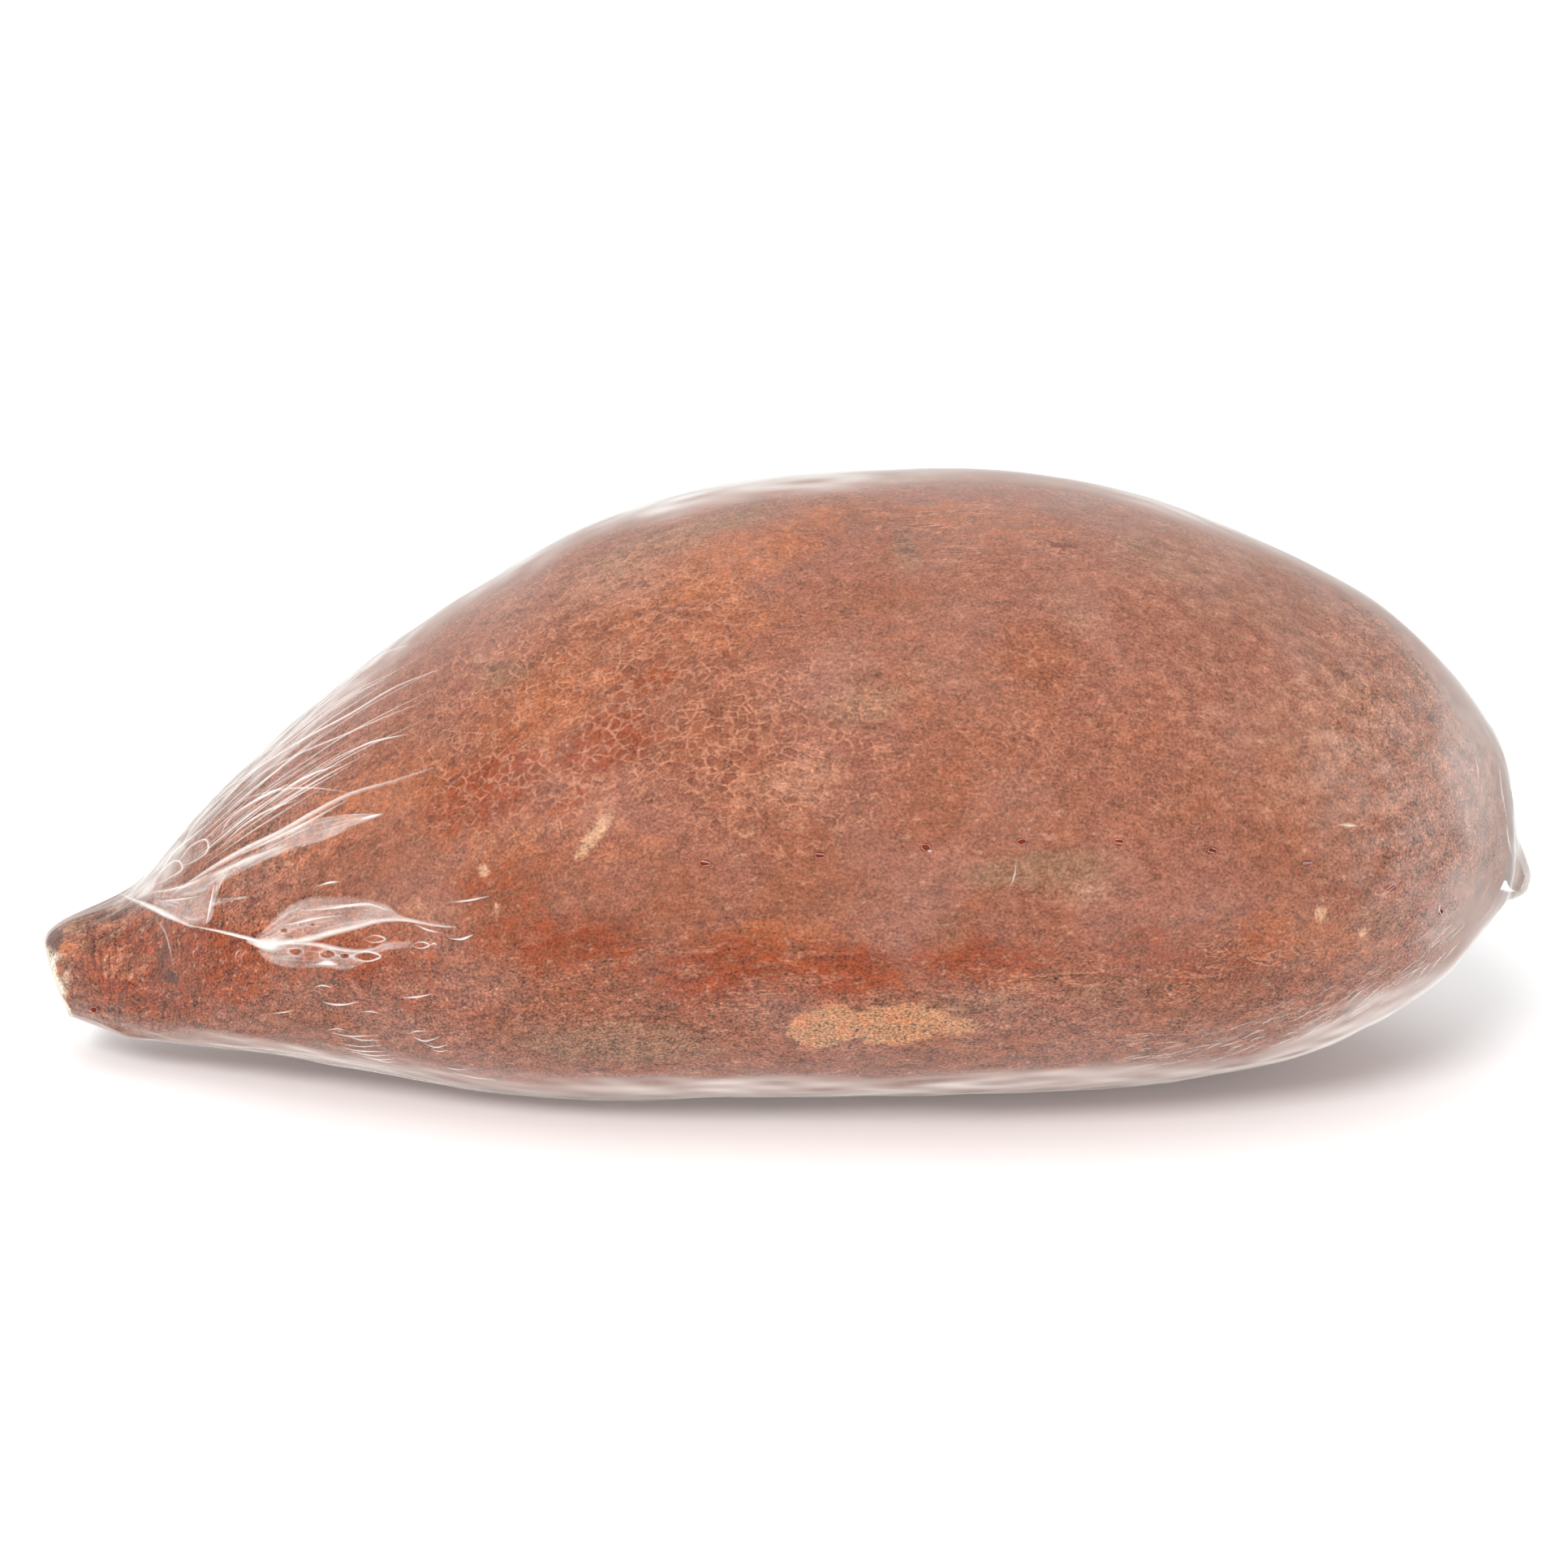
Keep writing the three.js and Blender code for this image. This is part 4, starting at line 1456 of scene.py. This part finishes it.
@dataclass(frozen=True)
class RootSkinFinish:
    """Dusty, scuffed skin of a raw root, redder where it is rubbed and cracked where it is old, with painted
    shade beside the net's lines, in the vent holes and under the film's tent at the tail.
    """

    rose: Colour = paint(144, 91, 73)
    clay: Colour = paint(138, 81, 56)
    orange: Colour = paint(164, 94, 56)
    deep_red: Colour = paint(134, 56, 20)
    grey_brown: Colour = paint(136, 102, 78)
    umber: Colour = paint(112, 72, 50)
    brick: Colour = paint(128, 60, 38)
    pale: Colour = paint(176, 130, 106)
    ridge: Colour = paint(182, 124, 96)
    scar: Colour = paint(188, 140, 102)
    husk: Colour = paint(204, 162, 128)
    cream: Colour = paint(244, 230, 208)
    ochre: Colour = paint(180, 116, 48)
    # Painted shade under the film's tent
    tent_shade_lavender: Colour = paint(124, 102, 94)
    dark: Colour = paint(80, 46, 34)
    # Dark of cracks, fibres and flecks, also used for the painted shade beside the net's lines
    groove_and_shade: Colour = paint(104, 50, 34)
    # Painted shade inside the vent holes
    vent_shade: Colour = paint(112, 36, 8)

    def build(self) -> bpy.types.Material:
        """Lays out the material."""
        b = Bench("root_skin", "grown")
        mottle = b.noise(1.5, 5, (1.5, 1, 1), 0.72)
        blotch = b.maths("SUBTRACT", b.noise(6.5, 4, (1.5, 1, 1), 0.68), 0.5)
        wander = b.maths("ADD", b.times(blotch, 1.3), b.times(b.maths("SUBTRACT", mottle, 0.5), 1.0))

        def patch(mark: Mark, low: float, high: float, top: float) -> bpy.types.NodeSocket:
            """A mark's cover with a ragged edge."""
            return b.rise(b.maths("ADD", b.mark(mark.value), wander), low, high, top)

        # Broad patches of colour
        colour = b.over(b.rise(b.noise(17, 3), 0.36, 0.66), self.rose, self.clay)
        colour = b.over(patch(Mark.ORANGE, 0.15, 0.9, 0.85), colour, self.orange)
        colour = b.over(patch(Mark.DEEP, 0.15, 0.85, 0.88), colour, self.deep_red)
        colour = b.over(patch(Mark.GREY, 0.2, 0.9, 0.8), colour, self.grey_brown)
        colour = b.over(patch(Mark.PALE, 0.25, 1.0, 0.65), colour, self.pale)

        # Smudges, dust and flecks, stronger where the skin is worn
        worn = b.maths("ADD", b.times(b.mark(Mark.WORN.value), 0.9), 1.0)
        smudge = b.times(b.rise(b.noise(1.8, 4, (1.9, 1, 1), 0.70), 0.50, 0.70, 0.45), worn)
        colour = b.over(smudge, colour, self.umber)
        flush = b.rise(b.noise(1.2, 4, (1.3, 1, 1), 0.65), 0.53, 0.70, 0.34)
        flush = b.times(flush, worn)
        colour = b.over(flush, colour, self.brick)
        dust = b.rise(b.noise(0.8, 3, (1.5, 1, 1), 0.75), 0.53, 0.74, 0.50)
        dust = b.times(dust, worn)
        colour = b.over(dust, colour, self.pale)
        fleck = b.rise(b.noise(0.75, 3, (2.2, 1, 1), 0.68, 0.4), 0.60, 0.70, 0.42)
        fleck = b.times(fleck, worn)
        colour = b.over(fleck, colour, self.groove_and_shade)

        # Crackled net with raised lines, sunk cells, and painted shade along one side of each line
        net_mark = b.rise(b.maths("ADD", b.mark(Mark.NET.value), b.times(blotch, 0.8)), 0.1, 0.7)
        crackle = b.bent_space(0.92, (1.4, 1, 1), 0.8)
        scales = b.cells(crackle, "F1")
        bricks = b.cells(crackle, "DISTANCE_TO_EDGE").outputs["Distance"]
        # Painted shade: the line edges moved a little, so one side of every line is darkened
        shade_side_edges = b.cells(b.moved(crackle, (0.08, 0.03, 0.13)), "DISTANCE_TO_EDGE").outputs["Distance"]
        broken = b.rise(b.noise(1.6, 4, (1.5, 1, 1), 0.7), 0.36, 0.58)
        sunk = b.times(b.rise(scales.outputs["Color"], 0.45, 0.85, 0.34), net_mark)
        colour = b.over(sunk, colour, self.groove_and_shade)
        # Painted shade beside the lines, laid on in the groove and shade colour
        shadow = b.times(b.rise(shade_side_edges, 0.12, 0.02, 0.60), broken, net_mark)
        colour = b.over(shadow, colour, self.groove_and_shade)
        net_here = b.maths("ADD", b.times(net_mark, 0.60), 0.07)
        net = b.times(b.rise(bricks, 0.17, 0.02), broken, net_here)
        colour = b.over(net, colour, self.ridge)

        # Fibres along the root and strokes across the neck
        fibre = b.noise(0.8, 3, (9, 1, 1), 0.62)
        fibre_here = b.maths("ADD", b.times(b.mark(Mark.STREAK.value), 0.75), 0.10)
        colour = b.over(b.times(b.rise(fibre, 0.50, 0.70), fibre_here), colour, self.groove_and_shade)

        strokes = b.rise(b.noise(2.6, 3, (0.2, 1, 1), 0.66), 0.48, 0.62, 0.8)
        colour = b.over(b.times(strokes, b.mark(Mark.BARK.value)), colour, self.groove_and_shade)

        # Short cracks between raised edges
        line = b.maths("ABSOLUTE", b.maths("SUBTRACT", b.noise(1.5, 3, (5.0, 1, 1), 0.55, 0.5), 0.5))
        short = b.rise(b.noise(3.4, 2, (2.2, 1, 1)), 0.50, 0.60)
        crack_here = b.times(short, b.maths("ADD", b.times(b.mark(Mark.CRACK.value), 0.75), 0.10))
        colour = b.over(b.times(b.rise(line, 0.075, 0.035), crack_here, 0.7), colour, self.ridge)
        crack = b.times(b.rise(line, 0.036, 0.006), crack_here)
        colour = b.over(crack, colour, self.groove_and_shade)

        # Dark spots and pores
        spot = b.maths("ADD", b.mark(Mark.SPOT.value), b.times(b.maths("SUBTRACT", fibre, 0.5), 1.6))
        spot = b.rise(spot, 0.25, 0.95, 0.85)
        pores = b.cells(b.space(8.0, (1.3, 1, 1)), "F1")
        pore = b.rise(b.maths("ADD", pores.outputs["Distance"], b.times(wander, 0.06)), 0.06, 0.02)
        pore = b.times(pore, b.rise(pores.outputs["Color"], 0.5, 0.6))
        colour = b.over(b.times(pore, 0.7), colour, self.dark)
        colour = b.over(spot, colour, self.dark)

        # Scuffs, the scar, and painted shade on the skin seen through the vent holes
        scuff = b.rise(b.maths("ADD", b.mark(Mark.SCUFF.value), b.times(wander, 0.8)), 0.30, 0.75, 0.62)
        colour = b.over(scuff, colour, self.husk)
        scar = b.rise(b.maths("ADD", b.mark(Mark.SCAR.value), b.times(wander, 0.7)), 0.34, 0.50)
        scar_colour = b.over(b.rise(mottle, 0.42, 0.66, 0.7), self.scar, self.orange)
        colour = b.over(b.times(scar, 0.85), colour, scar_colour)
        off = b.add("ShaderNodeVectorMath", operation="LENGTH")
        b.feed(off, 0, b.add("ShaderNodeAttribute", attribute_name="from_vent").outputs["Vector"])
        # Painted shade: the skin under each vent is darkened and reddened
        colour = b.over(b.rise(off.outputs["Value"], 1.5, 1.0), colour, self.vent_shade)

        # The tail with the film tent's painted shade, its rootlet and the cut
        # Painted shade: the tail end under the film's tent is greyed
        rim = b.rise(b.maths("ADD", b.mark(Mark.TENT_SHADE.value), b.times(blotch, 0.8)), 0.35, 0.95, 0.85)
        colour = b.over(rim, colour, self.tent_shade_lavender)
        colour = b.over(b.times(b.mark(Mark.HUSK.value), 0.9), colour, self.umber)
        flesh = b.over(b.rise(mottle, 0.54, 0.72, 0.85), self.cream, self.ochre)
        colour = b.over(b.mark(Mark.CUT.value), colour, flesh)
        colour = b.over(b.times(spot, b.mark(Mark.CUT.value)), colour, self.dark)

        # Tone and relief
        grain = b.noise(0.26, 2, (1.2, 1, 1), 0.75)
        tone = b.maths("ADD", b.times(mottle, 1.3), b.times(grain, 2.4))
        tone = b.maths("ADD", b.times(b.maths("ADD", tone, -1.85), worn), 1.02)
        colour = b.shade(colour, tone)

        height = b.maths("ADD", b.times(fibre, 0.9), b.times(grain, 0.9))
        bump = b.add("ShaderNodeBump")
        b.feed(bump, "Strength", 0.8)
        b.feed(bump, "Distance", 0.15 * MM)
        b.feed(bump, "Height", height)

        shader = b.add("ShaderNodeBsdfPrincipled")
        b.feed(shader, "Base Color", colour)
        b.feed(shader, "Roughness", b.maths("ADD", 0.55, b.times(mottle, 0.3)))
        b.feed(shader, "Specular IOR Level", 0.15)
        b.feed(shader, "Normal", bump.outputs[0])
        return b.finish(shader.outputs[0])


@dataclass(frozen=True)
class ClearFilmFinish:
    """Thin clear film: a glossy veil that whitens at a slant and where it is folded.

    Attributes:
        name: The material's name.
        gloss: Share of the glancing reflection that shows.
        gloss_ior: Index that sets how much the film reflects.
        haze: How milky the film looks edge on.
        streaky: How far the folds' white breaks up into fine threads.
        white: The colour of the milky film.
    """

    name: str
    gloss: float
    gloss_ior: float
    haze: float
    streaky: float
    white: Colour = (0.97, 0.94, 0.90, 1.0)

    def build(self) -> bpy.types.Material:
        """Lays out the material."""
        b = Bench(self.name)
        # The veil holds the film's milkiness, its white folds and bands of painted reflection
        veil = b.mark("veil")
        if self.streaky:
            thread = b.rise(b.noise(0.5, 3, (6, 1, 1), 0.65, 0.4), 0.3, 0.7)
            veil = b.times(veil, b.maths("ADD", 1 - self.streaky, b.times(thread, self.streaky)))
        ripple = b.add("ShaderNodeBump")
        b.feed(ripple, "Strength", 0.15)
        b.feed(ripple, "Distance", 0.05 * MM)
        b.feed(ripple, "Height", b.noise(2.4, 2, (2.4, 1, 1), 0.6))
        fresnel = b.add("ShaderNodeFresnel")
        b.feed(fresnel, "IOR", self.gloss_ior)
        b.feed(fresnel, "Normal", ripple.outputs[0])
        slant = b.add("ShaderNodeLayerWeight")
        b.feed(slant, "Blend", 0.5)
        haze = b.times(b.maths("POWER", slant.outputs["Facing"], 2.5), self.haze)
        shine = b.times(fresnel.outputs[0], self.gloss)
        share = b.maths("ADD", veil, b.maths("ADD", haze, shine), clamp=True)
        sheen = b.add("ShaderNodeBsdfPrincipled")
        b.feed(sheen, "Base Color", self.white)
        b.feed(sheen, "Roughness", 0.4)
        b.feed(sheen, "Normal", ripple.outputs[0])
        clear = b.add("ShaderNodeBsdfTransparent")
        mix = b.add("ShaderNodeMixShader")
        b.feed(mix, 0, share)
        b.feed(mix, 1, clear.outputs[0])
        b.feed(mix, 2, sheen.outputs[0])
        return b.finish(mix.outputs[0])


@dataclass(frozen=True)
class SoftKey:
    """A large soft key light far off, so that it lights the floor evenly.

    Attributes:
        name: Its name.
        elevation: Degrees above the floor.
        azimuth: Degrees to the left of the camera.
        strength: Its irradiance, face on.
        spread: How wide it looks from the root, in degrees.
    """

    name: str
    elevation: float
    azimuth: float
    strength: float
    spread: float

    def build(self) -> None:
        """Makes the light and turns it to the root."""
        data = bpy.data.lights.new(self.name, "SUN")
        data.energy = self.strength
        data.angle = math.radians(self.spread)
        light = bpy.data.objects.new(self.name, data)
        light.rotation_euler = (math.radians(90 - self.elevation), 0, math.radians(-self.azimuth))
        bpy.context.scene.collection.objects.link(light)


@dataclass
class Studio:
    """White tent that is brighter at the front, pale floor and soft lights.

    Attributes:
        front: Brightness of the tent behind the camera.
        back: Brightness of the tent behind the root.
        floor_size: Side of the floor, in metres.
        floor_tone: How light the floor is.
        floor_glow: Light that the lit table gives by itself.
        lights: The lights in the tent.
    """

    front: float = 0.80
    back: float = 0.40
    floor_size: float = 8.0
    floor_tone: float = 0.93
    floor_glow: float = 0.15
    lights: tuple[SoftKey, ...] = (
        SoftKey("soft_key", 40, 18, 1.8, 20),
        SoftKey("soft_top", 78, 0, 0.9, 60),
    )

    def build(self) -> None:
        """Makes the world, the floor and the lights, and sets plain colours."""
        world = bpy.data.worlds.new("white_tent")
        world.use_nodes = True
        nodes, links = world.node_tree.nodes, world.node_tree.links
        way = nodes.new("ShaderNodeTexCoord")
        split = nodes.new("ShaderNodeSeparateXYZ")
        links.new(way.outputs["Generated"], split.inputs[0])
        fade = nodes.new("ShaderNodeMapRange")
        fade.interpolation_type = "SMOOTHSTEP"
        ends = {"From Min": 0.3, "From Max": -0.5, "To Min": self.back, "To Max": self.front}
        for name, value in ends.items():
            fade.inputs[name].default_value = value
        links.new(split.outputs["Y"], fade.inputs["Value"])
        links.new(fade.outputs[0], nodes["Background"].inputs["Strength"])
        nodes["Background"].inputs["Color"].default_value = (1, 1, 1, 1)
        bpy.context.scene.world = world
        bpy.context.scene.view_settings.view_transform = "Standard"
        bpy.context.scene.view_settings.look = "None"
        for light in self.lights:
            light.build()
        net = bmesh.new()
        bmesh.ops.create_grid(net, x_segments=4, y_segments=4, size=self.floor_size / 2)
        bench = Bench("pale_floor")
        paper = bench.add("ShaderNodeBsdfPrincipled")
        tone = self.floor_tone
        bench.feed(paper, "Base Color", (tone, tone, tone, 1))
        bench.feed(paper, "Roughness", 0.9)
        bench.feed(paper, "Emission Color", (1, 1, 1, 1))
        bench.feed(paper, "Emission Strength", self.floor_glow)
        floor = piece_from(net, "floor", bench.finish(paper.outputs[0]))


def main() -> None:
    """Builds the camera, the root, the film and its folds, and the studio."""
    logging.basicConfig(level=logging.INFO, format="%(name)s: %(message)s")
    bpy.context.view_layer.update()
    VIEW.build()

    root = StorageRoot().build(RootSkinFinish().build())
    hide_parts("sweet_potato")

    clear = ClearFilmFinish("clear_film", gloss=0.8, gloss_ior=1.24, haze=0.2, streaky=0.0).build()
    folded = ClearFilmFinish("folded_film", gloss=0.0, gloss_ior=1.3, haze=0.0, streaky=0.2).build()
    film = ShrinkFilm()
    wrap = film.build(clear)
    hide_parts("shrink_film")
    folds = FilmFolds(SurfaceArtist(film.tree)).build(folded)
    for sheet in (wrap, *folds):
        sheet.visible_shadow = False
        sheet.visible_diffuse = False

    for piece in (root, wrap, *folds):
        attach(piece, BODY)
        log.info("%s: %d faces", piece.name, len(piece.data.polygons))

    Studio().build()


if __name__ == "__main__":
    main()
